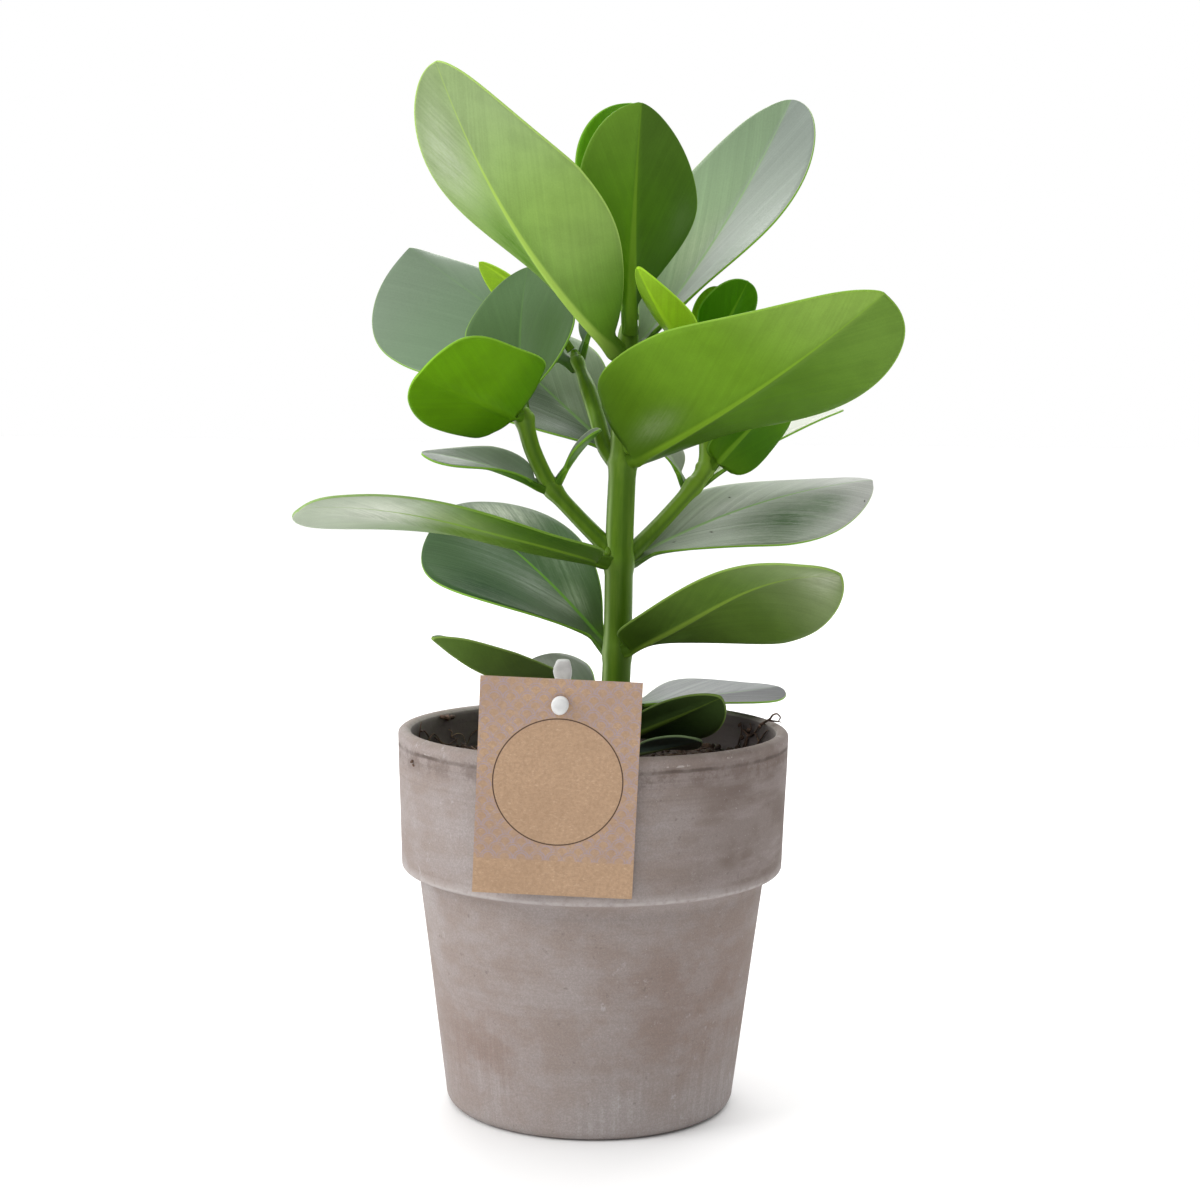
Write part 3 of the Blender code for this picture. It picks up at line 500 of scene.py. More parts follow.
def new_object(name, data):
    obj = bpy.data.objects.new(name, data)
    bpy.context.scene.collection.objects.link(obj)
    return obj


def mesh_object(name, verts, faces, materials, attributes=None):
    """A smooth-shaded piece, from vertices in millimetres and values at each of them."""
    mesh = bpy.data.meshes.new(name)
    mesh.from_pydata((np.array(verts) * MM).tolist(), [], faces)
    for key, values in (attributes or {}).items():
        values = np.asarray(values, np.float32)
        kind, field = ("FLOAT", "value") if values.ndim == 1 else ("FLOAT_VECTOR", "vector")
        mesh.attributes.new(key, kind, "POINT").data.foreach_set(field, values.ravel())
    mesh.update()
    mesh.validate()
    for mat in materials:
        mesh.materials.append(mat)
    mesh.shade_smooth()
    return new_object(name, mesh)


def keep(obj, nodes):
    """The piece rides on the only body and stands for these nodes."""
    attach(obj, "root")
    if nodes:
        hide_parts(*nodes)


def clean(obj, weld=0.0, thin=0.0):
    """Near vertices are welded, thin faces dissolved and all faces turned outward."""
    bm = bmesh.new()
    bm.from_mesh(obj.data)
    if weld:
        bmesh.ops.remove_doubles(bm, verts=bm.verts, dist=weld)
    if thin:
        bmesh.ops.dissolve_degenerate(bm, dist=thin, edges=bm.edges)
    bmesh.ops.recalc_face_normals(bm, faces=bm.faces)
    bm.to_mesh(obj.data)
    bm.free()


def rings_faces(rows, count, capped=False):
    """Quads between rows of rings, each with count points, and caps at both ends."""
    faces = []
    for i in range(rows - 1):
        for j in range(count):
            k = (j + 1) % count
            faces.append((i * count + j, i * count + k, (i + 1) * count + k, (i + 1) * count + j))
    if capped:
        faces.append(tuple(range(count - 1, -1, -1)))
        faces.append(tuple((rows - 1) * count + j for j in range(count)))
    return faces


def gather(parts):
    """Several meshes, each as vertices and faces, as one."""
    verts, faces = [], []
    for v, f in parts:
        start = len(verts)
        verts += list(v)
        faces += [tuple(i + start for i in face) for face in f]
    return verts, faces


def bmesh_part(bm, verts):
    """The new places of bm's vertices with its faces; bm is freed."""
    faces = [tuple(v.index for v in f.verts) for f in bm.faces]
    bm.free()
    return verts, faces


def in_order(faces):
    """The faces in an order that is the same in each run, each from its lowest vertex."""
    starts = [face.index(min(face)) for face in faces]
    return sorted(face[start:] + face[:start] for face, start in zip(faces, starts))


def smooth(x):
    x = np.clip(x, 0.0, 1.0)
    return x * x * (3.0 - 2.0 * x)


def unit(v):
    return v / np.maximum(np.linalg.norm(v, axis=-1, keepdims=True), 1e-9)


def polar(r, angle):
    return r * math.cos(angle), r * math.sin(angle)


def circle(r, z, sides):
    return [(*polar(r, math.tau * i / sides), z) for i in range(sides)]


def smooth_route(route, steps):
    """A rounded line through the route's points, with the radius as a fourth value."""
    points = np.array(route, float)
    tangents = np.gradient(points, axis=0)
    out = []
    for a, b, ta, tb in zip(points, points[1:], tangents, tangents[1:]):
        for s in np.arange(steps) / steps:
            h = (2 * s**3 - 3 * s**2 + 1, s**3 - 2 * s**2 + s, -2 * s**3 + 3 * s**2, s**3 - s**2)
            out.append(h[0] * a + h[1] * ta * 0.8 + h[2] * b + h[3] * tb * 0.8)
    out.append(points[-1])
    return np.array(out)


def tube(points, radii, sides):
    """A closed tube along points; each ring starts at the same side."""
    points = np.array(points, float)
    tangent = unit(np.gradient(points, axis=0))
    across = unit(np.cross(tangent[0], (0.13, 1.0, 0.07)))
    verts = []
    for i, place in enumerate(points):
        across = unit(across - tangent[i] * np.dot(across, tangent[i]))
        other = np.cross(tangent[i], across)
        for j in range(sides):
            angle = math.tau * j / sides
            verts.append(place + (across * math.cos(angle) + other * math.sin(angle)) * radii[i])
    return verts, rings_faces(len(points), sides, capped=True)


# Stem

def stem_material():
    look = Look("stem_green")
    side, front, node = look.split(look.attribute("stem", "Vector"))
    place = look.place()
    x = look.split(place)[0]
    streak = look.noise(place, 420, 3, 0.6, stretch=(1.0, 1.0, 0.12))
    blotch = look.noise(place, 60, 2)
    look.start(streak.ease(0.3, 0.75), (0.085, 0.175, 0.008), (0.135, 0.25, 0.018))
    look.paint(blotch.ease(0.45, 0.75, 0.0, 0.35), (0.07, 0.15, 0.006))
    look.paint(node * 0.3, (0.2, 0.33, 0.05))
    # the right shoot is lighter, and the left one a little
    shoot = x.ease(0.0155, 0.0285).do("MAXIMUM", x.ease(0.0015, -0.012, 0.0, 0.25))
    look.paint(shoot * 0.75, (0.23, 0.4, 0.035))
    # painted light: a pale stripe down the front-left of each stem and a paler line along the right
    # edge as painted highlights, and a darker band on the right as painted shade
    pale = side.bell(0.72, 0.16) * front.ease(0.0, 0.4, 0.0, 0.8)
    look.paint(pale * streak.ease(0.3, 0.6, 0.6, 1.0), (0.38, 0.52, 0.2))
    look.paint(side.ease(-0.88, -0.99, 0.0, 0.5), (0.2, 0.38, 0.05))
    look.paint(side.bell(-0.42, 0.3) * 0.6, (0.035, 0.095, 0.002))
    # scars at the nodes
    look.paint(node.ease(0.93, 0.99) * 0.6, (0.05, 0.09, 0.01))
    return look.finish(blotch.ease(0.3, 0.7, 0.3, 0.4), look.bump(streak, 0.15, 0.0004),
                       Specular_IOR_Level=0.12, Subsurface_Weight=0.08,
                       Subsurface_Radius=(0.002, 0.003, 0.001), Subsurface_Scale=1.0)


def make_stem():
    """The branches, swollen and ringed at their nodes, with the buds. The material reads which
    way a vertex faces and how near a node it is."""
    parts, marks = [], []
    for branch, route in BRANCHES.items():
        line = smooth_route(route, 14)
        z, radii = line[:, 2], line[:, 3].copy()
        near = np.zeros(len(line))
        for height in NODE_HEIGHTS[branch]:
            swelling = np.exp(-(((z - height) / 2.2) ** 2))
            ring = np.exp(-(((z - height - 1.6) / 0.5) ** 2))
            radii += 0.75 * swelling
            radii -= 0.22 * ring
            near = np.maximum(near, np.maximum(0.85 * swelling, ring))
        if branch == "back":
            radii *= 1 - 0.32 * smooth((z - 237) / 8)
        if branch == "main":
            line[:, 1] += 0.25 * np.sin(z / 17.0)
            line[:, 0] += 0.2 * np.sin(z / 11.0)
        parts.append(tube(line[:, :3], radii, STEM_SIDES))
        for share in near:
            marks += circle(1.0, share, STEM_SIDES)
    for x, y, z, radius in BUDS:
        bm = bmesh.new()
        bmesh.ops.create_uvsphere(bm, u_segments=16, v_segments=10, radius=radius)
        verts = []
        for v in bm.verts:
            pinch = 1.0 - 0.35 * max(v.co.z / radius, 0.0)
            verts.append((x + v.co.x * pinch, y + v.co.y * pinch, z + v.co.z * 1.5))
        marks += [(0.0, 0.0, 0.4)] * len(verts)
        verts, faces = bmesh_part(bm, verts)
        parts.append((verts, in_order(faces)))
    obj = mesh_object("stem_fine", *gather(parts), [stem_material()], {"stem": marks})
    keep(obj, ["stem"])


# Leaves

def branch_point(branch, height):
    """Place and radius of a branch's axis at a height, on the straight runs of its route."""
    route = BRANCHES[branch]
    for low, high in zip(route, route[1:]):
        if height <= high[2] or high is route[-1]:
            part = (height - low[2]) / (high[2] - low[2])
            values = [a + (b - a) * part for a, b in zip(low, high)]
            return np.array(values[:3]), values[3]


def leaf_root(spec):
    centre, radius = branch_point(spec.branch, spec.height)
    way = spec.tip - centre
    way[2] = 0
    return centre + unit(way) * 0.55 * radius


def leaf_sections(spec, t):
    """Midrib points, upper and sideways directions, half widths, folds, length and share of the
    blade at each t, which is a column."""
    root = leaf_root(spec)
    chord = spec.tip - root
    length = np.linalg.norm(chord)
    azimuth = math.atan2(chord[1], chord[0])
    if spec.azimuth is not None:
        azimuth = math.radians(spec.azimuth)
    across = np.array((math.sin(azimuth), -math.cos(azimuth), 0.0))
    lift = unit(np.cross(across, chord))
    turn = 2 * math.pi * t
    bend = 4 * t * (1 - t)
    place = root + chord * t + lift * (spec.bow * bend + spec.sway * np.sin(turn))
    place = place + across * spec.curl * bend
    along = unit(chord + lift * (spec.bow * 4 * (1 - 2 * t)
                                 + spec.sway * 2 * math.pi * np.cos(turn)))
    up = unit(np.cross(across, along))
    side = np.cross(along, up)
    roll, fold = (np.radians(start + (end - start) * smooth(t))
                  for start, end in (spec.roll, spec.fold))
    normal = up * np.cos(roll) + side * np.sin(roll)
    sideways = side * np.cos(roll) - up * np.sin(roll)
    start = spec.petiole / length
    blade = np.clip((t - start) / (1 - start), 0.0, 1.0)
    stalk = spec.stalk * (1 - smooth(2 * t))
    halves = []
    for share, widest, base, blunt in (spec.minus, spec.plus):
        low = np.sin(math.pi / 2 * np.clip(blade / widest, 0, 1) ** base)
        past = np.clip((blade - widest) / (1 - widest), 0, 1)
        high = np.maximum(1 - past ** blunt, 0.0) ** (1 / blunt)
        shape = np.where(blade < widest, low, high)
        halves.append(((spec.width / 2 * shape * share) ** 3 + stalk ** 3) ** (1 / 3))
    return place[:, None], normal[:, None], sideways[:, None], halves, fold, length, blade


def leaf_material(name, look_of, tones, sheen_shade_and_tone_patches, upper):
    """One side of a leaf: the upper side is greyer, glossier and more clearly veined. The leaf's
    own coordinates are millimetres along and across it and to its edge, and t and v."""
    look = Look(name)
    along, across, edge = look.split(look.attribute("leaf", "Vector"))
    top, t, v = look.split(look.attribute("leaf_side", "Vector"))
    away = abs(across)
    # side veins leave the midrib at a slant and run to the margin
    slant = away.do("MULTIPLY_ADD", -2.9 if upper else -2.2, along)
    veins = look.noise((slant, away * 0.05, t), 0.55, 4, 0.65)
    bands = look.noise((slant, away * 0.3, top), 0.1, 3, 0.6)
    grain = look.noise((along, across, top), 1.6, 2, 0.6)

    # tones from base to tip; a darker base is partly painted shade near the stem, and a paler tip
    # is partly painted sheen
    base, middle, tip = (np.array(tone) for tone in tones)
    look.start(t.ease(0.12, 0.42), base, middle)
    look.paint(t.ease(0.5, 0.92), tip)
    # painted light and shade: the halves' factors paint one half lighter and the other darker, as
    # the light falls on them
    halves = look_of.get("halves", ((1.0,) * 3, (1.0,) * 3))
    look.paint(1.0, look.mix(v.ease(-0.12, 0.12), *halves), "MULTIPLY")
    # soft patches: painted sheen, painted shade near the stem, the blade's own darker green and
    # dark specks, broken up by the vein streaks
    if sheen_shade_and_tone_patches:
        ripple = look.noise((slant * 0.5, across, t), 0.9, 4, 0.7)
        streaks = veins.ease(0.32, 0.62, 0.6 if upper else 0.75, 1.0)
        streaks = streaks * ripple.ease(0.35, 0.6, 0.7, 1.0)
    for place_t, place_v, size_t, size_v, tone, share in sheen_shade_and_tone_patches:
        soft = ellipse(t, place_t, size_t, v, place_v, size_v).fade() * share
        if size_v > 0.1:
            soft = soft * streaks
        look.paint(soft, tone)

    clear = look_of.get("veins", 0.55)
    spread = 0.11 * clear if upper else 0.05
    fine = veins.ease(0.3, 0.7, 1 - spread, 1 + spread)
    if upper:
        swing = min(0.06, 0.11 * clear)
        broad = bands.ease(0.35, 0.65, 1 - swing, 1 + swing)
    else:
        cloud = look.noise((along, across, top), 0.07, 4, 0.6)
        broad = cloud.ease(0.35, 0.65, 0.94, 1.05)
    factor = fine * broad * grain.ease(0.3, 0.7, 0.97, 1.03)
    look.paint(1.0, look.join(factor, factor, factor), "MULTIPLY")

    # the midrib, the pale rim and the green base
    rib_width = t.ease(0.0, 0.9, 1.0 if upper else 1.7, 0.32)
    from_rib = abs(v - look_of["rib_at"]) * 15.0 if "rib_at" in look_of else away
    rib = from_rib.ease(rib_width * 0.35, rib_width).rest()
    if upper:
        rib_tone = middle * 0.45 + (0.1, 0.24, 0.02)
    else:
        rib_tone = middle * (1.3, 1.2, 1.0) + (0.08, 0.12, 0.012)
    most = min(1.0, (0.6 if upper else 0.8) * look_of.get("rib", 1.0))
    look.paint(rib * t.ease(0.55, 1.0, most, most * 0.35), rib_tone)
    rim = edge.ease(0.12, 0.34).rest()
    look.paint(rim * 0.7, middle * (1.3, 1.25, 1.1) + (0.1, 0.14, 0.035))
    look.paint(t.ease(0.03, 0.16, 0.75, 0.0), (0.065, 0.14, 0.008))

    height = bands.do("MULTIPLY_ADD", 1.2, veins)
    normal = look.bump(height, 0.28 * clear if upper else 0.12, 0.0006)
    rough = veins.ease(0.25, 0.75, 0.28 if upper else 0.42, 0.44 if upper else 0.54)
    gloss = look_of.get("gloss", 0.18) if upper else 0.06
    return look.finish(rough, normal, Specular_IOR_Level=gloss)


def round_ring(upper, rims, lower):
    """Rows of closed rings: over the upper side, round the plus rim, back and round the minus."""
    return np.concatenate([upper, rims[:, 1:], lower[:, ::-1], rims[:, :1]], 1).reshape(-1, 3)


def make_leaf(spec):
    """A blade with a groove along its midrib, a keel below it, a rounded margin and a stalk."""
    rows, cols = (44, 17) if spec.width < 30 else (68, 27)
    t = ((1 - np.cos(math.pi * np.arange(rows) / (rows - 1))) / 2)[:, None]
    s = np.linspace(-1, 1, cols)
    v = np.sign(s) * np.abs(s) ** 1.15
    place, normal, sideways, halves, fold, length, blade = leaf_sections(spec, t)
    reach = np.where(v < 0, *halves) * v
    away = np.abs(reach)
    size = spec.width / 50.0
    phase = sum(ord(c) for c in spec.name)
    inner = (1 - v * v) ** 0.7

    # the upper side
    wave = np.sin(t * 7.0 + phase) * np.abs(v) ** 2
    blade_share = smooth(blade / 0.3) * smooth((1 - t) / 0.1)
    knob = np.exp(-(((t * length - 3.5) / 4.0) ** 2)) * inner
    knob = knob * min(1.0, size)
    lift = away * np.sin(fold) * np.abs(v) ** 0.4
    lift = lift + 0.7 * size * wave * blade_share + 0.9 * knob
    groove = np.exp(-((reach / 0.9) ** 2)) * smooth((1 - t) / 0.3)
    top = (place + sideways * (reach * np.cos(fold))[..., None]
           + normal * (lift - 0.22 * groove * blade_share)[..., None])

    # the lower side lies below it by the thickness
    outward = unit(np.cross(np.gradient(top, axis=1), np.gradient(top, axis=0)))
    flip = np.sign((outward * normal).sum(-1, keepdims=True))
    outward = unit(outward * np.where(flip == 0, 1, flip) + normal * 0.02)
    keel_width = 1.7 * (1 - t) ** 0.8 + 0.5
    keel = np.exp(-((away / keel_width) ** 2)) * (1 - t) ** 1.2
    thin = BLADE_THICKNESS + (MARGIN_THICKNESS - BLADE_THICKNESS) * (v * v)
    full = KEEL_THICKNESS * spec.stalk / STALK
    thick = thin + (full - thin) * np.maximum(keel, 0.75 * (1 - smooth(3 * t)) * inner)
    thick = np.maximum(thick, MARGIN_THICKNESS) + 1.7 * knob
    low = top - outward * thick[..., None]
    ends = [0, -1]
    rim_out = unit(top[:, ends] - top[:, [1, -2]] + 1e-9)
    rim = (top[:, ends] + low[:, ends]) / 2 + rim_out * 0.22

    # how far each point is from the blade's edge
    edge = np.concatenate([top[:, 0], top[:, -1], top[-1:, cols // 2]])
    edge = edge[np.concatenate([t[:, 0], t[:, 0], [1]]) > spec.petiole / length * 0.9]
    gap = np.linalg.norm(top[:, :, None, :] - edge, axis=-1).min(-1)
    gap = np.where(t < spec.petiole / length, 5.0, gap)

    def stacked(*values):
        return np.stack(np.broadcast_arrays(*values), -1)

    measures = stacked(t * length, reach, gap)
    at_rim = stacked(t * length, reach, 0.0)[:, ends]
    verts = round_ring(top, rim, low)
    box = np.array(cad_box) / MM
    verts = np.clip(verts, box[0] + BOX_MARGIN, box[1] - BOX_MARGIN)
    attributes = {"leaf": round_ring(measures, at_rim, measures),
                  "leaf_side": round_ring(stacked(1.0, t, v), stacked(0.5, t, v)[:, ends],
                                          stacked(0.0, t, v))}
    count = len(verts) // rows
    faces = rings_faces(rows, count)
    faces.append(tuple(range(count)))
    look = LOOKS.get(spec.name, {})
    sheen_shade_and_tone_patches = look.get("sheen_shade_and_tone_patches", [])
    below = "under" in look
    materials = [leaf_material(spec.name + "_top", look, look.get("upper", UPPER),
                               [] if below else sheen_shade_and_tone_patches, True),
                 leaf_material(spec.name + "_back", look, look.get("under", UNDER),
                               sheen_shade_and_tone_patches if below else [], False)]
    obj = mesh_object(spec.name + "_fine", verts, faces, materials, attributes)
    for n, face in enumerate(obj.data.polygons):
        face.material_index = 0 if n % count < cols - 1 else 1
    clean(obj, 0.00004, 0.00002)
    keep(obj, [spec.name])


# Pot

def arc(x, z, radius, start, end, steps):
    out = []
    for i in range(steps + 1):
        angle = math.radians(start + (end - start) * i / steps)
        out.append((x + radius * math.cos(angle), z + radius * math.sin(angle)))
    return out


def inner_radius(z):
    collar_inner = COLLAR_RADIUS - WALL - 0.6
    body_top = BODY_TOP_RADIUS - WALL
    body_foot = BODY_FOOT_RADIUS - WALL
    lip = RIM_RADIUS - LIP_THICKNESS
    if z >= COLLAR_BOTTOM + 4:
        part = (z - COLLAR_BOTTOM - 4) / (POT_HEIGHT - COLLAR_BOTTOM - 4)
        return collar_inner + (lip - collar_inner) * part
    if z >= COLLAR_BOTTOM - 6:
        return body_top + (collar_inner - body_top) * (z - COLLAR_BOTTOM + 6) / 10
    return body_foot + (body_top - body_foot) * (z - FLOOR) / (COLLAR_BOTTOM - 6 - FLOOR)


def dense(profile, step):
    """The profile with extra points so that no stretch is longer than step."""
    out = [profile[0]]
    for a, b in zip(profile, profile[1:]):
        count = max(1, math.ceil(math.dist(a, b) / step))
        for i in range(1, count + 1):
            out.append((a[0] + (b[0] - a[0]) * i / count, a[1] + (b[1] - a[1]) * i / count))
    return out


def pot_material():
    look = Look("clay_bloom")
    place = look.place()
    x, y, z = look.split(place)
    angle = y.do("ARCTAN2", x)
    cosine, sine = angle.do("COSINE"), angle.do("SINE")
    cloud = look.noise(place, 16, 4, 0.6)
    patch = look.noise(place, 38, 5, 0.65)
    grain = look.noise(place, 1500, 2, 0.7)
    grit = look.noise(place, 420, 3, 0.6)
    lines = look.noise((angle * 0.25, 0.0, z * 900.0), 1.0, 3, 0.6)
    scratches = look.noise((angle * 9.0, x * 60.0, z * 150.0), 1.3, 5, 0.75)
    drips = look.noise((angle * 26.0, 3.0, z * 22.0), 1.0, 3, 0.6)
    smear = look.noise((cosine * 2.2, sine * 2.2, z * 62.0), 1.35, 5, 0.62)
    stroke = look.noise((angle * 1.1, 7.0, z * 95.0), 1.4, 4, 0.6)
    sway = look.noise((cosine, sine, 0.0), 3.0, 4, 0.7)
    pale = (0.42, 0.39, 0.385)

    # brown and grey clay with a lime bloom, paler at the foot
    look.start(smear.ease(0.36, 0.62), (0.285, 0.232, 0.208), (0.325, 0.282, 0.268))
    look.paint(patch.ease(0.5, 0.7) * cloud.ease(0.38, 0.62) * 0.45, pale)
    look.paint(z.ease(0.004, 0.035, 1.0, 0.0) * patch.ease(0.35, 0.6, 0.4, 1.0) * 0.5, pale)
    # the right side is browner and darker, most of all on the collar: partly the clay's own brown,
    # partly painted shade on the side away from the light
    right = x.ease(0.012, 0.05) * smear.ease(0.35, 0.6, 1.0, 0.6)
    look.paint(right * z.ease(0.076, 0.082, 0.06, 1.0) * 0.92, (0.15, 0.113, 0.098))
    # a grey bloom that the maker's hand left in level strokes on the collar
    bloom = stroke.ease(0.45, 0.65) * z.ease(0.078, 0.084, 0.25, 1.0)
    look.paint(bloom * 0.35, (0.36, 0.32, 0.315))
    # warmer patches low at the left and on the right of the body
    for middle_x, middle_z, wide, tall in ((0.034, 0.045, 0.026, 0.026),
                                           (-0.034, 0.026, 0.014, 0.016)):
        warm = ellipse(x, middle_x, wide, z, middle_z, tall).fade()
        look.paint(warm * smear.ease(0.38, 0.62, 0.85, 0.35), (0.25, 0.182, 0.155))
    # drips and scrapes low on the body
    low = z.ease(0.004, 0.05, 1.0, 0.0) * patch.ease(0.4, 0.6)
    look.paint(drips.ease(0.45, 0.65) * low * 0.18, pale)
    look.paint(drips.ease(0.62, 0.4) * low * 0.15, (0.13, 0.095, 0.08))
    look.paint(scratches.ease(0.6, 0.68) * cloud.ease(0.4, 0.6) * 0.5, (0.46, 0.43, 0.43))
    # grain: dark pores and pale specks
    look.paint(grain.ease(0.3, 0.7, 0.0, 0.35), (0.15, 0.12, 0.105))
    look.paint(grain.ease(0.62, 0.76, 0.0, 0.5), (0.5, 0.46, 0.45))
    look.paint(grit.ease(0.36, 0.24, 0.0, 0.45), (0.13, 0.1, 0.09))
    # throwing lines, clearer near the lip
    near_lip = z.ease(0.104, 0.118).ease(0, 1, 0.3, 1.0)
    look.paint(lines.ease(0.5, 0.7) * near_lip * 0.28, (0.14, 0.11, 0.1))
    # brown scuffs and an uneven dark line under the lip, and small chips
    under_lip = z.ease(0.113, 0.119) * z.ease(0.1235, 0.1215)
    look.paint(under_lip * scratches.ease(0.42, 0.6, 0.15, 1.0) * 0.55, (0.12, 0.083, 0.068))
    level = abs(sway.do("MULTIPLY_ADD", -0.0022, z - 0.1201))
    look.paint(level.ease(0.0009, 0.0002) * sway.ease(0.35, 0.62, 0.1, 0.75),
               (0.075, 0.055, 0.046))
    for chip_angle, chip_z, wide, tall in ((-1.154, 0.1229, 0.075, 0.00038),
                                           (-0.85, 0.1242, 0.02, 0.0004),
                                           (-2.52, 0.1222, 0.03, 0.0003)):
        off = ellipse(angle, chip_angle, wide, z, chip_z, tall)
        look.paint(off.ease(1.2, 0.4) * grit.ease(0.44, 0.56) * 0.5, (0.52, 0.48, 0.46))
    # paler edges under the collar and inside the lip; the inner wall is darker, partly damp clay
    # and partly painted shade inside the pot
    look.paint(look.attribute("edge") * grit.ease(0.25, 0.6, 0.4, 1.0) * 0.7, (0.47, 0.43, 0.42))
    look.paint(look.attribute("inside") * 0.85, (0.125, 0.104, 0.104))
    height = lines.do("MULTIPLY_ADD", 0.5, grit.do("MULTIPLY_ADD", 0.6, grain * 0.35))
    return look.finish(0.85, look.bump(height, 0.45, 0.0006), Specular_IOR_Level=0.3)


def make_pot():
    """The thrown pot, from a turned profile that is shaken a little and grooved near the lip."""
    lip = LIP_THICKNESS / 2
    inside = [(0.01, FLOOR), (inner_radius(FLOOR) - 4, FLOOR), (inner_radius(FLOOR + 4), FLOOR + 4)]
    inside += [(inner_radius(z), z) for z in (COLLAR_BOTTOM - 6, COLLAR_BOTTOM + 4)]
    rim = arc(RIM_RADIUS - lip, POT_HEIGHT - lip, lip, 180, 0, 14)
    collar = arc(COLLAR_RADIUS - COLLAR_EDGE, COLLAR_BOTTOM + COLLAR_EDGE, COLLAR_EDGE, 0, -90, 6)
    neck = [(BODY_TOP_RADIUS + 2.6, COLLAR_BOTTOM - 0.3), (BODY_TOP_RADIUS, COLLAR_BOTTOM - 2)]
    foot = arc(BODY_FOOT_RADIUS - FOOT_ROUNDING, FOOT_ROUNDING, FOOT_ROUNDING, 0, -90, 8)
    profile = dense(inside + rim + collar + neck + foot + [(0.01, 0)], 2.5)
    verts, edge, inner = [], [], []
    for r, z in profile:
        for x, y, _ in circle(1.0, z, POT_SIDES):
            out = r
            if r > 20 and z > 1:
                out = r + 0.16 * noise.noise(Vector((x * 1.6, y * 1.6, z / 30))) - 0.08
                if z > 108 and r > 60:
                    out -= 0.07 * (1 + math.sin(z * 2.4))
            verts.append((out * x, out * y, z))
        under = math.exp(-(((z - COLLAR_BOTTOM - 0.9) / 1.0) ** 2)) * (r > COLLAR_RADIUS - 1.3)
        lip_edge = 0.8 * math.exp(-(((r - RIM_RADIUS + 4.2) / 0.6) ** 2)) * (z > POT_HEIGHT - 3)
        on_wall = abs(r - inner_radius(max(z, FLOOR))) < 0.5 and r < RIM_RADIUS - lip
        edge += [max(under, lip_edge)] * POT_SIDES
        inner += [float(on_wall and FLOOR - 1 < z < POT_HEIGHT - 1.2)] * POT_SIDES
    obj = mesh_object("pot_fine", verts, rings_faces(len(profile), POT_SIDES), [pot_material()],
                      {"edge": edge, "inside": inner})
    clean(obj, 0.00002)
    keep(obj, ["pot"])


# Soil with crumbs, bark and roots

def soil_material():
    look = Look("potting_soil")
    place = look.place()
    patch = look.noise(place, 130, 4, 0.65)
    grain = look.noise(place, 1100, 3, 0.7)
    look.start(patch.ease(0.35, 0.7), (0.022, 0.014, 0.01), (0.085, 0.048, 0.03))
    look.paint(grain.ease(0.55, 0.75, 0.0, 0.5), (0.16, 0.1, 0.065))
    return look.finish(0.95, look.bump(grain.do("MULTIPLY_ADD", 0.5, patch), 0.7, 0.0015))


def bark_material(name, dark, light):
    look = Look(name)
    streak = look.noise(look.place(), 300, 3, 0.6, stretch=(1, 1, 0.3))
    look.start(streak.ease(0.3, 0.7), dark, light)
    return look.finish(0.9, look.bump(streak, 0.5, 0.0006))


def lump(rng, place, size, scale):
    """A small rough stone of soil, as vertices and faces."""
    bm = bmesh.new()
    bmesh.ops.create_icosphere(bm, subdivisions=1, radius=1.0)
    turn = Matrix.Rotation(rng.uniform(0, 6), 3, "Z") @ Matrix.Rotation(rng.uniform(0, 6), 3, "X")
    verts = []
    for v in bm.verts:
        rough = rng.uniform(0.75, 1.2)
        p = turn @ Vector((v.co.x * scale[0], v.co.y * scale[1], v.co.z * scale[2]))
        verts.append(np.array(p) * size * rough + place)
    return bmesh_part(bm, verts)


def soil_height(x, y):
    wave = math.sin(0.21 * x + 0.6) * math.cos(0.17 * y - 0.4)
    ripple = 0.6 * math.sin(0.43 * x - 0.31 * y)
    rough = noise.noise(Vector((x / 4.0, y / 4.0, 0.3)))
    rough += 0.5 * noise.noise(Vector((x / 1.6, y / 1.6, 1.7)))
    return SOIL_LEVEL + wave + ripple + 1.1 * rough


def root_tube(points, radius, steps, sides):
    """A thin tapering tube on a rounded line through points."""
    line = smooth_route([(*p, 0.0) for p in points], steps)[:, :3]
    return tube(line, radius * (1 - 0.6 * np.linspace(0, 1, len(line))), sides)


def wall_tube(points, radius, off):
    """A root on the inner wall, through points of an angle in degrees and a height."""
    places = [(*polar(inner_radius(z) - off, math.radians(a)), z) for a, z in points]
    return root_tube(places, radius, 6, 7)


def scatter(rng, edge, least, most, inward=0.0, power=1.0):
    """A chance place on the soil, between two shares of the way to its edge."""
    angle = rng.uniform(0, math.tau)
    return polar(edge * rng.uniform(least, most) ** power - inward, angle)


def fibre(rng, edge):
    """A short curled root lying on the soil."""
    x, y = scatter(rng, edge, 0.35, 0.97)
    heading = rng.uniform(0, math.tau)
    points = []
    for i in range(5):
        inside = min(1.0, (edge - 1.0) / max(math.hypot(x, y), 1e-6))
        x, y = x * inside, y * inside
        points.append((x, y, soil_height(x, y) + rng.uniform(0.3, 2.2)))
        heading += rng.uniform(-0.8, 0.8)
        x += 2.4 * math.cos(heading)
        y += 2.4 * math.sin(heading)
    return root_tube(points, rng.uniform(0.14, 0.32), 4, 6)


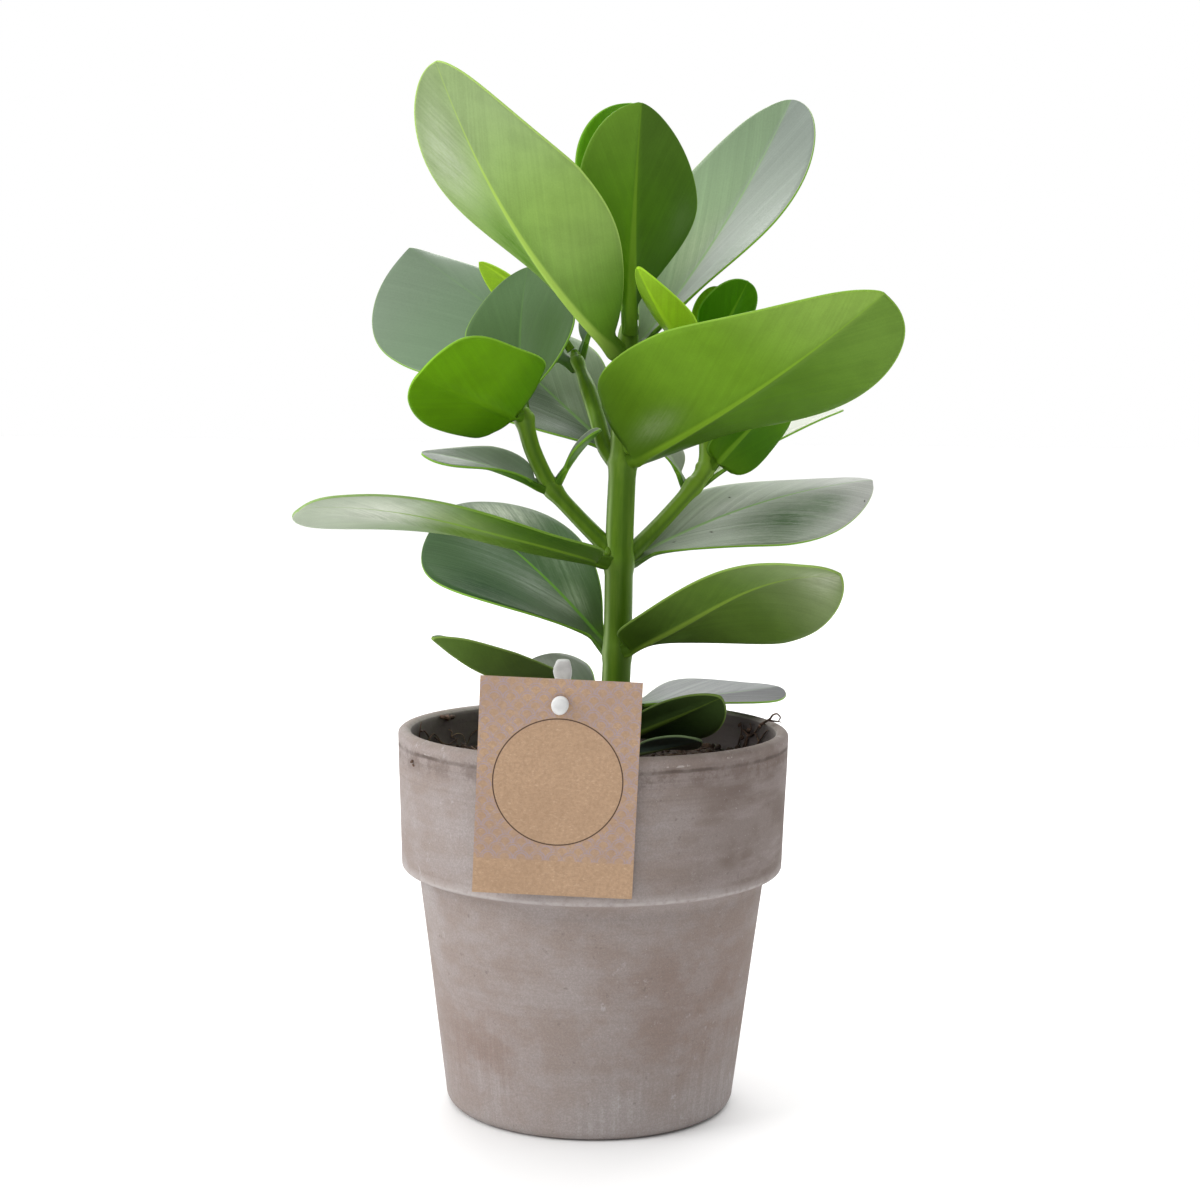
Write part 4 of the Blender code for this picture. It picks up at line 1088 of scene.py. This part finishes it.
def make_soil():
    rng = random.Random(11)
    edge = inner_radius(SOIL_LEVEL) - 0.4
    radii = np.concatenate([[0.01], np.linspace(1.5, edge, 34)])
    verts = []
    for r in radii:
        rise = 1.6 * max(0.0, (r - edge + 8) / 8) ** 2
        for x, y, _ in circle(r, 0.0, SOIL_SIDES):
            verts.append((x, y, soil_height(x, y) + rise * noise.noise(Vector((x / 7, y / 7, 5)))))
    for r, z in ((edge, SOIL_LEVEL - 5), (inner_radius(60) - 1, 60), (inner_radius(8) - 1, 8)):
        verts += circle(r, z, SOIL_SIDES)
    faces = rings_faces(len(radii) + 3, SOIL_SIDES)
    faces.append(tuple((len(radii) + 2) * SOIL_SIDES + i for i in range(SOIL_SIDES)))
    parts = [(verts, faces)]
    for i in range(CRUMBS):
        x, y = scatter(rng, edge, 0.05, 1.0, 1.5, 0.5)
        size = rng.choice((0.5, 0.7, 0.9, 1.2, 1.6))
        parts.append(lump(rng, (x, y, soil_height(x, y) + size * 0.3), size, (1.0, 0.9, 0.75)))
    keep(mesh_object("soil_fine", *gather(parts), [soil_material()]), ["soil"])

    parts = []
    for i in range(BARK_PIECES):
        x, y = scatter(rng, edge, 0.3, 1.0, 2.5)
        size = rng.uniform(1.2, 2.6)
        parts.append(lump(rng, (x, y, soil_height(x, y) + 0.7), size, (1.5, 0.7, 0.28)))
    parts += [fibre(rng, edge) for i in range(FIBRES)]
    parts += [wall_tube(points, radius, 0.7) for points, radius in WALL_ROOTS]
    parts += [root_tube(points, radius, 6, 7) for points, radius in TWIGS]
    parts += [lump(rng, *crumb) for crumb in STUCK_CRUMBS]
    bark = bark_material("bark_and_roots", (0.045, 0.026, 0.018), (0.17, 0.1, 0.065))
    keep(mesh_object("soil_bark_and_roots", *gather(parts), [bark]), [])

    parts = [wall_tube(points, radius, 0.5) for points, radius in PALE_ROOTS]
    pale = bark_material("pale_roots", (0.2, 0.13, 0.09), (0.42, 0.3, 0.22))
    keep(mesh_object("soil_pale_roots", *gather(parts), [pale]), [])


# Tag and peg

def tag_y_at_peg():
    above = PEG_CENTRE[1] - TAG_CENTRE[2]
    return TAG_CENTRE[1] - above * math.tan(math.radians(TAG_LEAN))


def length_of(x, z):
    return (x * x + z * z).do("SQRT")


def scale_lines(x, z):
    """Two arcs in each scale, in rows that are shifted by half a scale. An arc reaches a little
    into the row above, and the origin is moved so that no row has a negative number."""
    pitch_x, pitch_z, origin = 5.0, 2.5, 60.0
    level = (z + origin) / pitch_z
    lines = None
    for row in (0, 1):
        base = level.do("FLOOR") - row
        u = (x + origin) / pitch_x + base.do("MODULO", 2.0) * 0.5
        rise = (level - base) * pitch_z
        r = length_of((u.do("FRACT") - 0.5) * pitch_x, rise)
        for radius in (2.4, 1.68):
            line = abs(r - radius).ease(0.07, 0.35).rest()
            lines = lines.do("MAXIMUM", line) if lines else line
    return lines


def tag_material():
    """Kraft card printed with a scale pattern round a plain ring."""
    look = Look("printed_kraft")
    place = look.place()
    x, y, z = look.split(place)
    x, z = x * 1000.0, z * 1000.0
    fibres = look.noise(place, 900, 3, 0.6, stretch=(1.0, 1.0, 2.2))
    mottle = look.noise(place, 1250, 3, 0.7)
    broad = look.noise(place, 45, 3, 0.6)
    ink = look.noise(place, 500, 2, 0.6)
    look.start(mottle.ease(0.3, 0.7), (0.35, 0.225, 0.137), (0.44, 0.288, 0.178))
    look.paint(broad.ease(0.35, 0.7, 0.0, 0.35), (0.335, 0.213, 0.127))
    look.paint(fibres.ease(0.55, 0.75, 0.0, 0.4), (0.62, 0.45, 0.31))
    look.paint(fibres.ease(0.42, 0.28, 0.0, 0.35), (0.3, 0.18, 0.1))
    # the front is printed outside the ring and above the plain strip
    r = length_of(x - 0.2, z - 1.9)
    front = y.ease(0.0, -0.0003)
    printed = r.ease(20.0, 20.3) * z.ease(-23.2, -22.4) * front
    look.paint(printed * broad.ease(0.35, 0.65, 0.0, 0.25), (0.27, 0.19, 0.17))
    look.paint(scale_lines(x, z) * printed * ink.ease(0.35, 0.6, 0.25, 0.75), (0.305, 0.25, 0.29))
    ring = abs(r - 19.75).ease(0.12, 0.28).rest()
    look.paint(ring * front * 0.95, (0.05, 0.022, 0.016))
    return look.finish(0.8, look.bump(fibres, 0.15, 0.0003))


def make_tag():
    """The card, with a round hole and a slight curl, made flat and then hung."""
    bm = bmesh.new()
    bmesh.ops.create_grid(bm, x_segments=24, y_segments=32, size=0.5)
    for v in bm.verts:
        curl = 0.5 * v.co.y ** 2 - 0.25 * v.co.x ** 2
        v.co = (v.co.x * TAG_WIDTH * MM, -curl * MM, v.co.y * TAG_HEIGHT * MM)
    bmesh.ops.recalc_face_normals(bm, faces=bm.faces)
    obj = new_object("tag_fine", bpy.data.meshes.new("tag_fine"))
    bm.to_mesh(obj.data)
    bm.free()
    solid = obj.modifiers.new("card", "SOLIDIFY")
    solid.thickness = TAG_THICKNESS * MM
    solid.offset = 0.0

    hung = Matrix.Translation(Vector(TAG_CENTRE) * MM)
    hung = hung @ Matrix.Rotation(math.radians(TAG_TURN), 4, "Y")
    hung = hung @ Matrix.Rotation(math.radians(TAG_LEAN), 4, "X")
    bm = bmesh.new()
    bmesh.ops.create_cone(bm, cap_ends=True, segments=40, radius1=2.5 * MM, radius2=2.5 * MM,
                          depth=10 * MM, matrix=Matrix.Rotation(math.pi / 2, 4, "X"))
    cutter = new_object("hole", bpy.data.meshes.new("hole"))
    bm.to_mesh(cutter.data)
    bm.free()
    peg = Vector((PEG_CENTRE[0], tag_y_at_peg(), PEG_CENTRE[1]))
    cutter.location = hung.inverted() @ (peg * MM)
    cut = obj.modifiers.new("hole", "BOOLEAN")
    cut.object = cutter
    cut.solver = "EXACT"
    bpy.context.view_layer.update()
    made = bpy.data.meshes.new_from_object(obj.evaluated_get(
        bpy.context.evaluated_depsgraph_get()))
    obj.modifiers.clear()
    obj.data = made
    bpy.data.objects.remove(cutter)
    obj.data.materials.clear()
    obj.data.materials.append(tag_material())
    obj.matrix_world = hung
    keep(obj, ["tag"])


def peg_material():
    look = Look("frosted_plastic")
    cloud = look.noise(look.place(), 300, 3)
    look.start(cloud.ease(0.3, 0.7), (0.66, 0.66, 0.655), (0.82, 0.82, 0.81))
    return look.finish(cloud.ease(0.2, 0.8, 0.28, 0.4), look.bump(cloud, 0.35, 0.0006),
                       Transmission_Weight=0.2)


def make_peg():
    """The stake with a rounded, tooth-like head, and the pin with its uneven oval head."""
    stake = []
    for z, half in ((92.2, 1.2), (97, 2.6), (99, 2.7), (120, 2.7), (147, 2.6), (148.4, 2.45),
                    (149.4, 2.55), (150.4, 2.82), (151.5, 2.93), (152.6, 2.78), (153.6, 2.45),
                    (154.4, 2.2), (154.9, 1.9), (155.12, 1.5), (155.2, 0.9)):
        deep = min(1.15, half * 0.62)
        for c, s, _ in circle(1.0, z, PEG_SIDES):
            x = half * math.copysign(abs(c) ** 0.55, c)
            y = deep * math.copysign(abs(s) ** 0.55, s)
            stake.append((STAKE_X + x + 0.12 * math.sin(z * 0.9), STAKE_Y + y, z))

    pin = []
    front = tag_y_at_peg() - TAG_THICKNESS / 2 - 0.55
    for share, y in ((0.25, -1.56), (0.55, -1.55), (0.78, -1.45), (0.92, -1.2), (0.99, -0.8),
                     (0.97, -0.35), (0.88, -0.08), (0.74, 0.0), (0.74, STAKE_Y - front)):
        for i in range(PEG_SIDES):
            angle = math.tau * i / PEG_SIDES
            wide = 2.78 * share
            tall = 1.0
            if y < 0:
                wide *= 0.955 + 0.03 * math.sin(2 * angle + 0.6) + 0.015 * math.sin(3 * angle)
                tall = 1.13
            x, z = polar(wide, angle)
            pin.append((PEG_CENTRE[0] + x, front + y, PEG_CENTRE[1] + z * tall))
    parts = [(verts, rings_faces(len(verts) // PEG_SIDES, PEG_SIDES, capped=True))
             for verts in (stake, pin)]
    obj = mesh_object("tag_peg_fine", *gather(parts), [peg_material()])
    clean(obj)
    keep(obj, ["tag_peg"])


# Studio

def light(name, place, target, size, power):
    data = bpy.data.lights.new(name, "AREA")
    data.shape = "RECTANGLE"
    data.size, data.size_y = size
    data.energy = power
    obj = new_object(name, data)
    obj.location = place
    way = Vector(target) - Vector(place)
    obj.rotation_euler = way.to_track_quat("-Z", "Y").to_euler()


def make_studio():
    scene = bpy.context.scene
    scene.view_settings.view_transform = "Standard"
    scene.world = bpy.data.worlds.new("studio")
    scene.world.use_nodes = True
    sky = Nodes(scene.world.node_tree)
    x, y, z = sky.split(sky.place("Generated"))
    # brighter behind the plant and overhead than in front and to the right
    strength = y.ease(-0.35, 0.4, 0.45, 1.0) + z.ease(0.3, 0.9, 0.0, 0.9)
    strength = strength + x.ease(0.3, 0.95, 0.0, -0.35)
    # seen directly it is white all round
    strength = strength.do("MAXIMUM", sky.add("ShaderNodeLightPath", {}, "Is Camera Ray"))
    background = sky.tree.nodes["Background"]
    sky.put(background.inputs["Strength"], strength)
    sky.put(background.inputs["Color"], (1.0, 1.0, 1.0))

    light("key", (-1.3, -0.6, 0.9), (0, 0, 0.15), (0.8, 0.8), 14.0)
    light("back", (0.2, 1.5, 1.5), (0, 0, 0.2), (2.2, 0.9), 20.0)

    mesh = bpy.data.meshes.new("floor")
    half = 9.0
    mesh.from_pydata([(-half, -half, 0), (half, -half, 0), (half, half, 0), (-half, half, 0)],
                     [], [(0, 1, 2, 3)])
    floor = new_object("floor", mesh)
    look = Look("pale_floor")
    tone = look.noise(look.place(), 3.0, 2)
    look.start(tone.ease(0.3, 0.7), (0.84, 0.84, 0.84), (0.88, 0.88, 0.88))
    mesh.materials.append(look.finish(0.8))


def make_camera():
    pitch, roll = math.radians(5.43), math.radians(0.62)
    forward = Vector((0, math.cos(pitch), -math.sin(pitch)))
    right = Vector((1, 0, 0))
    up = right.cross(forward)
    turned_right = right * math.cos(roll) + up * math.sin(roll)
    turned_up = up * math.cos(roll) - right * math.sin(roll)
    data = bpy.data.cameras.new("camera")
    data.sensor_width = 36.0
    # a focal length of 2218 pixels of a picture 1200 pixels wide
    data.lens = 2218.0 / 1200.0 * 36.0
    data.clip_start = 0.05
    data.clip_end = 50.0
    camera = new_object("camera", data)
    matrix = Matrix((turned_right, turned_up, -forward)).transposed().to_4x4()
    matrix.translation = Vector((1.8, -732.0, 238.0)) * MM
    camera.matrix_world = matrix
    bpy.context.scene.camera = camera


make_camera()
make_studio()
make_pot()
make_soil()
make_stem()
for spec in LEAVES:
    make_leaf(spec)
make_tag()
make_peg()
